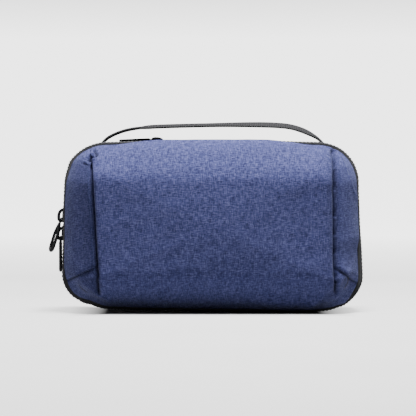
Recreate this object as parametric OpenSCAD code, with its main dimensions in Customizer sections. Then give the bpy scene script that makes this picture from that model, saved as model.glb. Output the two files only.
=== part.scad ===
// Cable organizer pouch: a soft zip-around case that opens like a book on a cloth
// spine, with a webbing handle, a rear pocket under a short top zip, elastic cable
// loops on an inner divider and a mesh pocket inside the front cover.
// Frame: X to the right, Y to the back, Z up. The front faces -Y. The origin is on the
// floor, at the middle of the back binding's foot. Depths below are counted from the
// plane between the two rows of the main zip, which lies in front of that.

/* [Body] */
// Width of the pouch at its widest, low down
body_w = 245; // [220:1:270]
// Height of the pouch, floor to top edge
body_h = 140; // [130:1:160]
// How much narrower the pouch is at the top, each side
side_taper = 3; // [1:0.5:5]
// Radius of the two top corners
top_corner_r = 36; // [34:1:40]
// Radius of the two bottom corners
bottom_corner_r = 30; // [29:1:34]
// Depth of the front cover in front of its binding
front_depth = 30; // [26:1:36]
// Depth of the back body behind its binding
back_depth = 26; // [24:1:32]

/* [Cloth] */
// Outer cloth thickness
cloth_t = 1; // [0.8:0.1:1.2]
// Foam padding thickness
foam_t = 2.6; // [2:0.1:3.2]
// Lining thickness
lining_t = 0.6; // [0.5:0.1:0.8]
// Radial thickness of the black binding
binding_t = 3; // [2.6:0.1:3.2]
// Width of each binding, front to back
binding_w = 6; // [5:0.5:8]

/* [Main zip] */
// Width between the two bindings
zip_gap = 16; // [15:0.5:18]
// Thickness of a zip tape
tape_t = 0.8; // [0.6:0.1:0.9]
// Height of a row of coil teeth on its tape
coil_t = 1.7; // [1.4:0.1:1.8]
// Gap left between the two rows of teeth for the slider's post
coil_gap = 1.6; // [1.4:0.1:1.8]
// Height of the upper slider's middle above the floor
upper_slider_z = 79; // [77:1:82]
// Distance between the middles of the two sliders
slider_pitch = 15; // [14.5:0.5:18]

/* [Sliders and pulls] */
// Length of a slider
slider_l = 12; // [11:0.5:13]
// Width of a slider's outer plate
slider_w = 9.6; // [9:0.1:10]
// Height of the bridge above the outer plate
bridge_h = 4.9; // [4.5:0.1:5.5]
// Wire diameter of a pull
pull_wire = 1.5; // [1.2:0.1:1.6]
// Length of a pull from its pivot
pull_l = 26; // [22:1:28]
// Outer width of a pull
pull_w = 8; // [7.5:0.5:9]
// Lean of the upper pull over the lower slider, in degrees
upper_pull_lean = 16; // [12:1:20]

/* [Top pocket zip] */
// Distance of the pocket zip's middle line behind the main zip
pocket_zip_y = 31; // [31:0.5:31.5]
// Length of the pocket zip
pocket_zip_l = 152; // [120:2:152]
// Width of the pocket's slot
pocket_slot_w = 11; // [10.6:0.1:11]
// Where the pocket slider is parked along X
pocket_slider_x = -45; // [-50:1:30]

/* [Handle] */
// Width of the webbing
web_w = 12; // [10:1:12]
// Thickness of the webbing
web_t = 1.6; // [1.4:0.1:2]
// Half of the span between the feet of the arch
handle_half = 92; // [90:1:94]
// Height of the arch above its feet
handle_rise = 13.5; // [11:0.5:16]

/* [Inside] */
// Depth at which the divider stands behind the main zip
divider_y = 23.4; // [22:0.2:23.4]
// Thickness of the divider
divider_t = 1.6; // [1.2:0.1:1.6]
// Number of small elastic loops
small_loops = 6; // [5:1:7]
// Number of large elastic loops
large_loops = 4; // [3:1:5]
// How far the loops stand out from the divider
loop_out = 13; // [10:0.5:14]
// Depth of the mesh pocket's sheet in front of the main zip
mesh_y = 28; // [26:1:30]
// Height of the mesh pocket's edge above the floor
mesh_top = 84; // [70:1:90]

/* [Hidden] */
$fn = 48;

blue = [0.20, 0.25, 0.45];
black = [0.04, 0.04, 0.05];
grey = [0.33, 0.33, 0.33];
lining_colour = [0.22, 0.23, 0.26];

half_zip = zip_gap / 2;
edge_y = half_zip + binding_w;
skin_t = cloth_t + foam_t + lining_t;
front_start = 1.2;
back_start = 2;
arc_steps = 8;
// Depth at which the flat back panel is sewn to the wall of the back body
panel_seam_y = edge_y + back_depth - 2.5;

// Corner centres of the outline, right-hand side
top_c = [body_w / 2 - side_taper - top_corner_r, body_h - top_corner_r];
bottom_c = [body_w / 2 - bottom_corner_r, bottom_corner_r];
// Lean of the straight sides, and their length
side_run = [bottom_c.x - top_c.x, top_c.y - bottom_c.y];
lean = atan2(side_run.x, side_run.y)
  + asin((bottom_corner_r - top_corner_r) / norm(side_run));
side_l = sqrt(pow(norm(side_run), 2) - pow(bottom_corner_r - top_corner_r, 2));

function arc(c, r, from, to) = [
  for (i = [0:arc_steps])
    let (a = from + (to - from) * i / arc_steps)
    c + r * [cos(a), sin(a)]
];
// The path of the main zip, d inside the outline: from the top of the spine over the
// top, down the left side and along the foot to the bottom of the spine
function zip_path(d) = concat(
  arc(top_c, top_corner_r - d, lean, 90),
  arc([-top_c.x, top_c.y], top_corner_r - d, 90, 180 - lean),
  arc([-bottom_c.x, bottom_c.y], bottom_corner_r - d, 180 - lean, 270),
  arc(bottom_c, bottom_corner_r - d, 270, 360 + lean)
);
function backwards(v) = [for (i = [len(v) - 1:-1:0]) v[i]];

// Moves what is built about the zip plane into the part's own frame
module in_frame() {
  translate([0, -half_zip - binding_w / 2, 0]) children();
}
// Lays a flat shape drawn in X and Z between two depths
module between(y0, y1) {
  translate([0, y1, 0]) rotate([90, 0, 0]) linear_extrude(y1 - y0) children();
}
// A closed band round the pouch
module band(d0, d1, y0, y1) {
  difference() {
    between(y0, y1) polygon(zip_path(d0));
    between(y0 - 1, y1 + 1) polygon(zip_path(d1));
  }
}
// A strip that follows the zip and stops at the spine
module zip_strip(d0, d1, y0, y1) {
  between(y0, y1) polygon(concat(zip_path(d0), backwards(zip_path(d1))));
}
// Puts a part on the straight side, z above the floor: its X goes up the side,
// its Z points out of the pouch
module on_left(z) {
  k = bottom_c.x * cos(lean) + bottom_c.y * sin(lean) + bottom_corner_r;
  translate([(z * sin(lean) - k) / cos(lean), 0, z])
    rotate([0, lean - 90, 0]) children();
}
module on_right(z) {
  mirror([1, 0, 0]) on_left(z) children();
}

// ---- cloth bowls ----
crown = 2;
middle_z = body_h / 2;
face_scale = 0.55;
profile_steps = 5;
front_inset = 26;
front_round = 1.3;
back_inset = 12;
back_round = 0.5;

// One ring of a bowl: d inside the outline, y from the zip plane
function ring_at(d, y) = [for (p = zip_path(d)) [p.x, y, p.y]];
function shrink(ring, s, y) = [
  for (p = ring) [p.x * s, y, middle_z + (p.z - middle_z) * s]
];
// Rings of a bowl's skin, t inside its outer face, from the binding to the middle
function bowl_rings(side, start, inset, depth, round, t) =
  let (
    rings = [
      for (i = [0:profile_steps])
        let (
          a = 90 * i / profile_steps,
          d = start + inset * (1 - pow(cos(a), round)) + t * cos(a),
          y = edge_y + depth * pow(sin(a), round) - t * sin(a)
        )
        ring_at(d, side * y)
    ]
  )
  concat(rings, [shrink(rings[profile_steps], face_scale,
    side * (edge_y + depth + crown - t))]);

// Triangles between ring a and ring b of n points each, a wall seen from outside
function wall(a, b, n, flip) = [
  for (i = [0:n - 1])
    let (j = (i + 1) % n)
    each flip
      ? [[a + i, b + i, a + j], [a + j, b + i, b + j]]
      : [[a + i, a + j, b + i], [a + j, b + j, b + i]]
];
function turned(f, flip) = flip ? backwards(f) : f;

// A skin between two depths t0 and t1 below the bowl's outer face
module bowl_skin(side, start, inset, depth, round, t0, t1) {
  outer = bowl_rings(side, start, inset, depth, round, t0);
  inner = bowl_rings(side, start, inset, depth, round, t1);
  n = len(outer[0]);
  m = len(outer);
  flip = side < 0;
  polyhedron([for (r = concat(outer, inner)) each r], concat(
    [for (k = [0:m - 2]) each wall(k * n, (k + 1) * n, n, flip)],
    [for (k = [0:m - 2]) each wall((m + k) * n, (m + k + 1) * n, n, !flip)],
    wall(0, m * n, n, !flip),
    [turned([for (i = [0:n - 1]) (m - 1) * n + i], flip)],
    [turned([for (i = [0:n - 1]) (2 * m - 1) * n + i], !flip)]
  ));
}
module front_skin(t0, t1) {
  bowl_skin(-1, front_start, front_inset, front_depth, front_round, t0, t1);
}
// The back skin has the slot in its top that the pocket zip closes
module back_skin(t0, t1) {
  difference() {
    bowl_skin(1, back_start, back_inset, back_depth, back_round, t0, t1);
    translate([-pocket_zip_l / 2, pocket_zip_y - pocket_slot_w / 2, body_h - 16])
      cube([pocket_zip_l, pocket_slot_w, 20]);
  }
}

// ---- back body ----
module back_wall_cloth() {
  color(blue) in_frame() intersection() {
    back_skin(0, cloth_t);
    translate([-body_w, 0, -10]) cube([2 * body_w, panel_seam_y, body_h + 20]);
  }
}
module back_panel_cloth() {
  color(blue) in_frame() intersection() {
    back_skin(0, cloth_t);
    translate([-body_w, panel_seam_y, -10]) cube([2 * body_w, body_w, body_h + 20]);
  }
}
module back_foam() { color(grey) in_frame() back_skin(cloth_t, cloth_t + foam_t); }
module back_lining() { color(lining_colour) in_frame() back_skin(cloth_t + foam_t, skin_t); }
module back_binding() { color(black) in_frame() band(0, binding_t, half_zip, edge_y); }

// ---- front cover ----
// Where the two upright seams stand at the floor and at the top edge, and where the
// slanted corner seams leave them and reach the binding
left_seam = [-91.7, -101];
right_seam = [99.8, 99.2];
left_slant = [38, 20];
right_slant = [35.4, 17];

function seam_x(s, z) = s[0] + (s[1] - s[0]) * z / body_h;
module front_piece(points) {
  color(blue) in_frame() intersection() {
    front_skin(0, cloth_t);
    between(-body_w, -1) polygon(points);
  }
}
// The region outside an upright seam, above or below the slanted seam
function outside(s, slant, z0, z1) =
  let (e = sign(s[0]) * (body_w / 2 + 5))
  z0 < 0
    ? [[seam_x(s, -10), -10], [seam_x(s, slant[0]), slant[0]], [e, slant[1]], [e, -10]]
    : [[seam_x(s, slant[0]), slant[0]], [seam_x(s, z1), z1], [e, z1], [e, slant[1]]];
module front_centre_panel() {
  front_piece([
    [seam_x(left_seam, -10), -10], [seam_x(right_seam, -10), -10],
    [seam_x(right_seam, body_h + 10), body_h + 10],
    [seam_x(left_seam, body_h + 10), body_h + 10]
  ]);
}
module front_left_panel() {
  front_piece(outside(left_seam, left_slant, 0, body_h + 10));
}
module front_right_panel() {
  front_piece(outside(right_seam, right_slant, 0, body_h + 10));
}
module front_left_gusset() { front_piece(outside(left_seam, left_slant, -10, 0)); }
module front_right_gusset() { front_piece(outside(right_seam, right_slant, -10, 0)); }
module front_foam() { color(grey) in_frame() front_skin(cloth_t, cloth_t + foam_t); }
module front_lining() { color(lining_colour) in_frame() front_skin(cloth_t + foam_t, skin_t); }
module front_binding() { color(black) in_frame() band(0, binding_t, -edge_y, -half_zip); }

// ---- main zip ----
row_in = coil_gap / 2;
row_out = row_in + 1.6;
coil_d = 1.4;
tape_d = coil_d + 0.5;
stop_l = 3;

module zip_coil(side) {
  zip_strip(coil_d, coil_d + coil_t, min(side * row_in, side * row_out),
    max(side * row_in, side * row_out));
}
module zip_tape(side) {
  zip_strip(tape_d, tape_d + tape_t, min(side * row_out, side * half_zip),
    max(side * row_out, side * half_zip));
}
// The two end stops of one tape, on the spine just past the teeth
module zip_stops(side) {
  for (z = [bottom_c.y + bottom_corner_r * sin(lean) + stop_l / 2,
            top_c.y + top_corner_r * sin(lean) - stop_l / 2])
    on_right(z)
      translate([-stop_l / 2, side > 0 ? row_in : -row_out, -coil_d - coil_t])
        cube([stop_l, row_out - row_in, coil_t + 0.4]);
}
module back_zip_tape() { color(black) in_frame() zip_tape(1); }
module front_zip_tape() { color(black) in_frame() zip_tape(-1); }
module back_zip_coil() { color(black) in_frame() zip_coil(1); }
module front_zip_coil() { color(black) in_frame() zip_coil(-1); }
module back_zip_stops() { color(grey) in_frame() zip_stops(1); }
module front_zip_stops() { color(grey) in_frame() zip_stops(-1); }
module spine_strip() {
  z_mid = (bottom_c.y + bottom_corner_r * sin(lean)
    + top_c.y + top_corner_r * sin(lean)) / 2;
  strip_l = side_l - 2 * stop_l - 1.2;
  color(blue) in_frame() on_right(z_mid)
    translate([-strip_l / 2, 0.4 - half_zip, -tape_d - tape_t])
      cube([strip_l, 2 * half_zip - 0.4, tape_t]);
}

// ---- inside the back body ----
loop_t = 1;
row_w = 186;
small_z = [78, 108];
large_z = [22, 58];

module divider_panel() {
  color(lining_colour) in_frame() between(divider_y, divider_y + divider_t)
    polygon(zip_path(back_start + skin_t + 0.1));
}
// One row of elastic loops, sewn down to the divider between the loops
module loop_row(count, z0, z1) {
  w = row_w / count;
  steps = 12;
  outer = [
    for (k = [0:count - 1])
      for (i = [k == 0 ? 0 : 1:steps])
        [(k - count / 2 + i / steps) * w, divider_y - loop_t - (loop_out - loop_t)
          * pow(sin(180 * i / steps), 0.6)]
  ];
  translate([0, 0, z0]) linear_extrude(z1 - z0)
    polygon(concat(outer, [for (p = backwards(outer)) [p.x, p.y + loop_t]]));
}
module small_elastic_loops() {
  color(black) in_frame() loop_row(small_loops, small_z[0], small_z[1]);
}
module large_elastic_loops() {
  color(black) in_frame() loop_row(large_loops, large_z[0], large_z[1]);
}

// ---- inside the front cover ----
mesh_t = 0.8;
mesh_inset = 12.8;
mesh_edge = 6;
module mesh_region(y0, y1, z0, z1) {
  intersection() {
    between(y0, y1) polygon(zip_path(mesh_inset));
    translate([-body_w, y0 - 1, z0]) cube([2 * body_w, y1 - y0 + 2, z1 - z0]);
  }
}
module mesh_pocket() {
  color(black) in_frame() mesh_region(-mesh_y, mesh_t - mesh_y, 0, mesh_top - mesh_edge);
}
module mesh_pocket_elastic() {
  color(black) in_frame()
    mesh_region(-mesh_y - 0.5, mesh_t - mesh_y + 0.5, mesh_top - mesh_edge, mesh_top);
}

// ---- pocket zip ----
pocket_ref_z = body_h - 3.1;
module pocket_frame() {
  translate([0, pocket_zip_y, pocket_ref_z]) children();
}
module pocket_rows(half_l, y0, y1, d0, d1) {
  pocket_frame()
    for (s = [-1, 1])
      translate([-half_l, s > 0 ? y0 : -y1, -d1]) cube([2 * half_l, y1 - y0, d1 - d0]);
}
module pocket_zip_tapes() {
  color(black) in_frame()
    pocket_rows(pocket_zip_l / 2, row_out, pocket_slot_w / 2, tape_d, tape_d + tape_t);
}
module pocket_zip_coils() {
  color(black) in_frame()
    pocket_rows(pocket_zip_l / 2 - stop_l, row_in, row_out, coil_d, coil_d + coil_t);
}
module pocket_zip_stops() {
  color(grey) in_frame() pocket_frame()
    for (s = [-1, 1])
      translate([s * (pocket_zip_l / 2 - stop_l / 2) - stop_l / 2, -row_out,
        -coil_d - coil_t])
        cube([stop_l, 2 * row_out, coil_t + 0.4]);
}

// ---- handle ----
handle_y = edge_y + web_w / 2 + 0.5;
handle_gap = 0.4;
tab_r = top_corner_r - back_start + web_t / 2;
foot_z = top_c.y + sqrt(pow(tab_r, 2) - pow(handle_half - top_c.x, 2));
cut_x = handle_half - 8;
tab_reach = 36;

function arch_z(x) = foot_z + handle_rise * (1 - pow(abs(x) / handle_half, 5));
function across(v, i) =
  let (t = v[min(i + 1, len(v) - 1)] - v[max(i - 1, 0)])
  [-t.y, t.x] / norm(t);
function ribbon(v, t) = concat(
  [for (i = [0:len(v) - 1]) v[i] + across(v, i) * t / 2],
  backwards([for (i = [0:len(v) - 1]) v[i] - across(v, i) * t / 2])
);
module webbing(v) {
  between(handle_y - web_w / 2, handle_y + web_w / 2) polygon(ribbon(v, web_t));
}
module handle_tab() {
  from = acos((handle_half - top_c.x) / tab_r);
  webbing(concat(
    [for (a = [tab_reach:4:from - 1]) top_c + tab_r * [cos(a), sin(a)]],
    [for (x = [handle_half:-1:cut_x + handle_gap]) [x, arch_z(x)]]
  ));
}
module handle_end_tabs() {
  color(grey) in_frame() {
    handle_tab();
    mirror([1, 0, 0]) handle_tab();
  }
}
module handle_webbing() {
  steps = 40;
  color(grey) in_frame()
    webbing([for (i = [0:steps]) let (x = cut_x * cos(180 * i / steps)) [x, arch_z(x)]]);
}

// ---- sliders and pulls ----
plate_t = 1.3;
plate_out = 0.2;
inner_d = coil_d + coil_t + 0.3;
inner_t = 1.2;
post_half = row_in - 0.3;
bridge_w = 3.6;
pivot = [-3, 0, 2.5];
hole_r = pull_wire / 2 + 0.35;
rail_y = (pull_w - pull_wire) / 2;

// Plan of a slider's plates: round shoulders at the nose, narrower at the tail
function plate_plan() = concat(
  [for (a = [0:15:90]) [slider_l / 2 - 3 + 3 * sin(90 - a), slider_w / 2 - 3 + 3 * sin(a)]],
  [for (a = [0:15:90]) [-slider_l / 2 + 2 - 2 * sin(a), slider_w / 2 - 2.8 + 2 * cos(a)]]
);
module plate(z0, z1) {
  half = plate_plan();
  translate([0, 0, z0]) linear_extrude(z1 - z0)
    polygon(concat(half, backwards([for (p = half) [p.x, -p.y]])));
}
module slider() {
  difference() {
    union() {
      plate(plate_out - plate_t, plate_out);
      rotate([90, 0, 0]) translate([0, 0, -bridge_w / 2]) linear_extrude(bridge_w)
        polygon(concat(
          [[4.8, plate_out - 0.3], [4.6, 1.4]],
          [for (a = [60:-15:-90]) [pivot.x + 0.4 - (bridge_h - 2.6) * sin(-a) * 0.9,
            pivot.z + (bridge_h - 2.7) * cos(a)]],
          [[-5, plate_out - 0.3]]
        ));
    }
    for (x = [0, 2.6])
      translate([pivot.x + x, 0, pivot.z]) rotate([90, 0, 0])
        cylinder(r = hole_r, h = bridge_w + 2, center = true);
    translate([pivot.x, -bridge_w, pivot.z - hole_r]) cube([2.6, 2 * bridge_w, 2 * hole_r]);
  }
  plate(-inner_d - inner_t, -inner_d);
  translate([slider_l / 2 - 4, -post_half, -inner_d - 0.2])
    cube([2.4, 2 * post_half, inner_d + 0.2 + plate_out - plate_t / 2]);
}
// A wire loop hanging down from its pivot, which runs along Y
module pull() {
  rail_l = pull_l - rail_y - pull_wire / 2;
  rotate([90, 0, 0]) cylinder(d = pull_wire, h = 2 * rail_y, center = true);
  for (s = [-1, 1])
    translate([0, s * rail_y, 0]) {
      sphere(d = pull_wire);
      translate([0, 0, -rail_l]) cylinder(d = pull_wire, h = rail_l);
    }
  translate([0, 0, -rail_l]) rotate([0, 90, 0])
    rotate([0, 0, -90]) rotate_extrude(angle = 180) translate([rail_y, 0]) circle(d = pull_wire);
}
module side_pull(z, swing) {
  on_left(z) translate(pivot) rotate([0, 90 - lean + swing, 0]) pull();
}
module upper_slider() { color(black) in_frame() on_left(upper_slider_z) slider(); }
module upper_pull() { color(black) in_frame() side_pull(upper_slider_z, upper_pull_lean); }
module lower_slider() { color(black) in_frame() on_left(upper_slider_z - slider_pitch) slider(); }
module lower_pull() { color(black) in_frame() side_pull(upper_slider_z - slider_pitch, 0); }
module pocket_slider() {
  color(black) in_frame() pocket_frame() translate([pocket_slider_x, 0, 0]) slider();
}
module pocket_pull() {
  color(black) in_frame() pocket_frame() translate(pivot + [pocket_slider_x, 0, 0])
    rotate([0, 90, 0]) pull();
}

back_wall_cloth();
back_panel_cloth();
back_foam();
back_lining();
back_binding();
back_zip_tape();
back_zip_coil();
back_zip_stops();
spine_strip();
divider_panel();
small_elastic_loops();
large_elastic_loops();
pocket_zip_tapes();
pocket_zip_coils();
pocket_zip_stops();
handle_end_tabs();
front_centre_panel();
front_left_panel();
front_right_panel();
front_left_gusset();
front_right_gusset();
front_foam();
front_lining();
front_binding();
front_zip_tape();
front_zip_coil();
front_zip_stops();
mesh_pocket();
mesh_pocket_elastic();
handle_webbing();
upper_slider();
upper_pull();
lower_slider();
lower_pull();
pocket_slider();
pocket_pull();
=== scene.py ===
import math
import bpy
import numpy as np
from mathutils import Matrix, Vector
from mathutils.bvhtree import BVHTree


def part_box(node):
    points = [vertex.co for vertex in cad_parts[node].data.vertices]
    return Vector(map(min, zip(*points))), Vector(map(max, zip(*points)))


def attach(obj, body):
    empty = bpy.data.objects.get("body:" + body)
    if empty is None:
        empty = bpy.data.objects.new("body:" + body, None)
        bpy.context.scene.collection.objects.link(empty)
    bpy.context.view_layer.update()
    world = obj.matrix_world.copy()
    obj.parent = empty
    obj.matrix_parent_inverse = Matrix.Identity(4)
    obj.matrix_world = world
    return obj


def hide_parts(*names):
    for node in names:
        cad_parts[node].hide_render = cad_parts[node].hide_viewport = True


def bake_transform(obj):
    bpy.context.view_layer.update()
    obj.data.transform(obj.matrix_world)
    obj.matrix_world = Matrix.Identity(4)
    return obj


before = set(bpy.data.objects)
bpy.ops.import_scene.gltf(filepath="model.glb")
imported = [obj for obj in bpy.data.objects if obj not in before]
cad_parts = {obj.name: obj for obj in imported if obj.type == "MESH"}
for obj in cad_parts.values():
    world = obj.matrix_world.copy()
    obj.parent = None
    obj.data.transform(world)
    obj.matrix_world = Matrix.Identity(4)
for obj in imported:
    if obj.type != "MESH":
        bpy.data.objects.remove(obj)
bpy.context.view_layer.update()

MM = 0.001
AXES = np.eye(3)
HALVES = {-1: ("front", "front_cover"), 1: ("back", "back_body")}

# ---------------------------------------------------------------------------
# Driving sizes, in metres. Places come from the frame's own boxes. Numbers with MM
# beside them are millimetres.
# ---------------------------------------------------------------------------
band_low, band_high = [np.array(c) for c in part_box("front_binding")]
back_low, back_high = [np.array(c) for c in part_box("back_binding")]
# Everything below is built about the plane between the two rows of the main zip,
# and add_mesh() moves it to its place in the part's frame.
ZIP_Y = (band_high[1] + back_low[1]) / 2
BODY_W = 245 * MM
BODY_H = band_high[2] - band_low[2]
TAPER = 3 * MM
TOP_R = 36 * MM
FOOT_R = 30 * MM
HALF_ZIP = back_low[1] - ZIP_Y
EDGE_Y = back_high[1] - ZIP_Y
FRONT_DEPTH, FRONT_INSET = 30 * MM, 26 * MM
BACK_DEPTH, BACK_INSET = 26 * MM, 12 * MM
# How softly the front cloth turns where its walls meet the face
SOFTEN = 7.5 * MM
CROWN = 2 * MM
FRONT_START = 1.2 * MM
BACK_START = 2.0 * MM
CLOTH_T = 1.0 * MM
WALL_T = 4.2 * MM
MID_Z = BODY_H / 2

# Where the upper slider is parked, how far below it the lower one is, and how far the
# upper pull leans away from the wall
UPPER_Z = 79 * MM
SLIDER_PITCH = 15 * MM
UPPER_LEAN = math.radians(16)
# The rear pocket's zip: its slot, its plane and where its slider is parked
slot_low, slot_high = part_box("pocket_zip_tapes")
POCKET_Y = (slot_low[1] + slot_high[1]) / 2 - ZIP_Y
SLOT_W = slot_high[1] - slot_low[1]
SLOT_HALF = slot_high[0]
SLOT_Y0, SLOT_Y1 = POCKET_Y - SLOT_W / 2, POCKET_Y + SLOT_W / 2
POCKET_Z = slot_high[2] + 1.9 * MM
POCKET_SLIDER_X = (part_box("pocket_slider")[0][0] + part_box("pocket_slider")[1][0]) / 2
PANEL_SEAM_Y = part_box("back_panel_cloth")[0][1] - ZIP_Y
# Handle
web_low, web_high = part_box("handle_end_tabs")
WEB_W = web_high[1] - web_low[1]
WEB_T = 1.6 * MM
HANDLE_Y = (web_low[1] + web_high[1]) / 2 - ZIP_Y
HANDLE_HALF = 92 * MM
HANDLE_RISE = 13.5 * MM
TOP_C = (BODY_W / 2 - TAPER - TOP_R, BODY_H - TOP_R)
TAB_R = TOP_R - BACK_START + WEB_T / 2
FOOT_Z = TOP_C[1] + math.sqrt(TAB_R ** 2 - (HANDLE_HALF - TOP_C[0]) ** 2)
FOOT_C = (BODY_W / 2 - FOOT_R, FOOT_R)
_run = (FOOT_C[0] - TOP_C[0], TOP_C[1] - FOOT_C[1])
LEAN = math.atan2(_run[0], _run[1]) + math.asin((FOOT_R - TOP_R) / math.hypot(*_run))
# How far the straight side lies from the foot of the middle line, square to the side
SIDE_REACH = FOOT_C[0] * math.cos(LEAN) + FOOT_C[1] * math.sin(LEAN) + FOOT_R

# The filled pouch against the even outline, as (place, amount) pairs in millimetres:
# how far its underside lifts at x, and how far its two sides stand out at height z
UNDERSIDE = ((-118, 0), (-111.5, 1.2), (-104.7, 3.5), (-98, 3.2), (-91, 2.5), (-62, 1.5),
             (-12, 0.6), (60, 0), (85, 0.3), (97, 1.2), (104, 1.5), (109, 0.5), (114, 0.1),
             (118, 0))
LEFT_SIDE = ((0, 5.6), (9, 5.0), (12, 3.1), (16, 1.7), (22, 0.6), (29, -0.2), (58, -0.5),
             (87, -1.4), (103, -1.3), (112, -1.1), (118, -1.5), (124, -2.9), (136, -3.2))
RIGHT_SIDE = ((0, -1.9), (9, -1.8), (12, -1.4), (16, -0.9), (19, -0.6), (24, 0.0), (50, 0.0),
              (70, -0.6), (100, -0.5), (116, 0.2), (124, 0.9), (136, 2.2))


def smooth(a, b, x):
    """0 below a, 1 above b, a soft ramp between. Works with a > b too."""
    t = np.clip((np.asarray(x, float) - a) / (b - a), 0.0, 1.0)
    return t * t * (3 - 2 * t)


def table(at, pairs):
    """A value read from (place in millimetres, value) pairs."""
    place, value = np.array(pairs, float).T
    return np.interp(at, place * MM, value)


def decay(dist, reach):
    """1 on a line, fading evenly to both sides of it."""
    return np.exp(-np.abs(dist) / reach)


def lengths(path):
    """How far along a path each of its points lies."""
    return np.concatenate([[0], np.cumsum(np.linalg.norm(np.diff(path, axis=0), axis=1))])


def tangents(path):
    """Unit directions along a path."""
    t = np.gradient(path, axis=0)
    return t / np.linalg.norm(t, axis=1)[:, None]


def upright(p):
    """Points or directions in the outline's plane, in three dimensions."""
    return np.stack([p[:, 0], np.zeros(len(p)), p[:, 1]], -1)


def woven(u, v):
    """Places in the cloth's own plane, for the weave attribute."""
    return np.stack([u, v, np.zeros(len(u))], -1)


class Outline:
    """The pouch's outline as a path: from the top of the spine over the top, down the
    left side, along the foot, and for the closed one back up the right side."""

    def __init__(self, closed):
        corners = [
            (TOP_C[0], TOP_C[1], TOP_R, LEAN, math.pi / 2),
            (-TOP_C[0], TOP_C[1], TOP_R, math.pi / 2, math.pi - LEAN),
            (-FOOT_C[0], FOOT_C[1], FOOT_R, math.pi - LEAN, 1.5 * math.pi),
            (FOOT_C[0], FOOT_C[1], FOOT_R, 1.5 * math.pi, 2 * math.pi + LEAN),
        ]
        fine = []
        for cx, cz, r, a0, a1 in corners:
            for a in np.linspace(a0, a1, 160):
                fine.append((cx + r * math.cos(a), cz + r * math.sin(a), a))
        if closed:
            x, z, a = fine[0]
            fine.append((x, z, a + 2 * math.pi))
        fine = np.array(fine)
        step = np.hypot(*np.diff(fine[:, :2], axis=0).T)
        self.s = np.concatenate([[0], np.cumsum(step)])
        self.fine = fine
        self.length = self.s[-1]

    def at(self, s):
        """Points, outward normals and the angle of the normal at lengths s."""
        s = np.asarray(s, float)
        x = np.interp(s, self.s, self.fine[:, 0])
        z = np.interp(s, self.s, self.fine[:, 1])
        a = np.interp(s, self.s, self.fine[:, 2])
        return np.stack([x, z], -1), np.stack([np.cos(a), np.sin(a)], -1), a


CLOSED = Outline(True)
OPEN = Outline(False)


# ---------------------------------------------------------------------------
# Mesh helpers
# ---------------------------------------------------------------------------
def facing_out(verts, faces):
    """The faces of a closed mesh, turned so that they all look outwards."""
    groups = {}
    for f in faces:
        groups.setdefault(len(f), []).append(f)
    total = 0.0
    for size, group in groups.items():
        p = verts[np.array(group, int)]
        for k in range(1, size - 1):
            total += np.einsum("ij,ij->", p[:, 0], np.cross(p[:, k], p[:, k + 1]))
    return faces if total >= 0 else [list(f)[::-1] for f in faces]


def droop(x, z):
    """How far the shoulders of the filled pouch hang below the flat top edge, less the
    rise of its underside towards the lower corners."""
    return (1.7 * MM * smooth(22 * MM, 96 * MM, np.abs(x)) * smooth(98 * MM, 138 * MM, z)
            - MM * table(x, UNDERSIDE) * smooth(22 * MM, 4 * MM, z))


def swell(x, z):
    """How far the filled pouch's sides and shoulders stand out, and its lower corners
    pull in, from the even outline."""
    out = np.where(x < 0, table(z, LEFT_SIDE), table(z, RIGHT_SIDE))
    return MM * out * smooth(45 * MM, 92 * MM, np.abs(x))


def add_mesh(name, verts, faces, material, weave=None, flat=False, hang=True):
    """A mesh object from points about the zip's plane. With hang it takes the filled
    pouch's shape."""
    me = bpy.data.meshes.new(name)
    placed = np.array(verts, float)
    faces = facing_out(placed, faces)
    if hang:
        x, y, z = placed.T
        shift = swell(x, z)
        # The zip stays straight where its sliders travel
        run = smooth(6.5 * MM, 4.5 * MM, np.abs(y)) * smooth(20 * MM, 31 * MM, z)
        run = run * smooth(116 * MM, 105 * MM, z) * (x < 0)
        shift = shift + (swell(x, 70 * MM) - shift) * run
        placed[:, 2] -= droop(x, z)
        placed[:, 0] += shift
    placed[:, 1] += ZIP_Y
    me.from_pydata(placed.tolist(), [], [list(map(int, f)) for f in faces])
    me.update()
    if weave is not None:
        att = me.attributes.new("weave", "FLOAT_VECTOR", "POINT")
        att.data.foreach_set("vector", np.asarray(weave, np.float32).ravel())
    if not flat:
        me.polygons.foreach_set("use_smooth", np.ones(len(me.polygons), bool))
    me.materials.append(material)
    ob = bpy.data.objects.new(name, me)
    bpy.context.scene.collection.objects.link(ob)
    return ob


def grid_faces(rows, cols, wrap_rows=False, wrap_cols=False):
    """Quads of a grid of rows x cols points."""
    i = np.arange(rows if wrap_rows else rows - 1)
    j = np.arange(cols if wrap_cols else cols - 1)
    i, j = [m.ravel() for m in np.meshgrid(i, j, indexing="ij")]
    i2 = (i + 1) % rows
    j2 = (j + 1) % cols
    return np.stack([i * cols + j, i * cols + j2, i2 * cols + j2, i2 * cols + j], -1)


def boundary_edges(faces):
    """Directed edges that only one face uses."""
    edges = {}
    for f in faces:
        n = len(f)
        for k in range(n):
            a, b = int(f[k]), int(f[(k + 1) % n])
            if (b, a) in edges:
                del edges[(b, a)]
            else:
                edges[(a, b)] = True
    return list(edges)


def thicken(outer, inner, faces, weave=None):
    """A closed solid between two sheets of the same points. Unused points go."""
    faces = [list(map(int, f)) for f in faces]
    used = sorted({v for f in faces for v in f})
    index = {v: i for i, v in enumerate(used)}
    n = len(used)
    front = [[index[v] for v in f] for f in faces]
    back = [[v + n for v in reversed(f)] for f in front]
    rim = [[b, a, a + n, b + n] for a, b in boundary_edges(front)]
    verts = np.concatenate([outer[used], inner[used]])
    both = None if weave is None else np.concatenate([weave[used], weave[used]])
    return verts, front + back + rim, both


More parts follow.
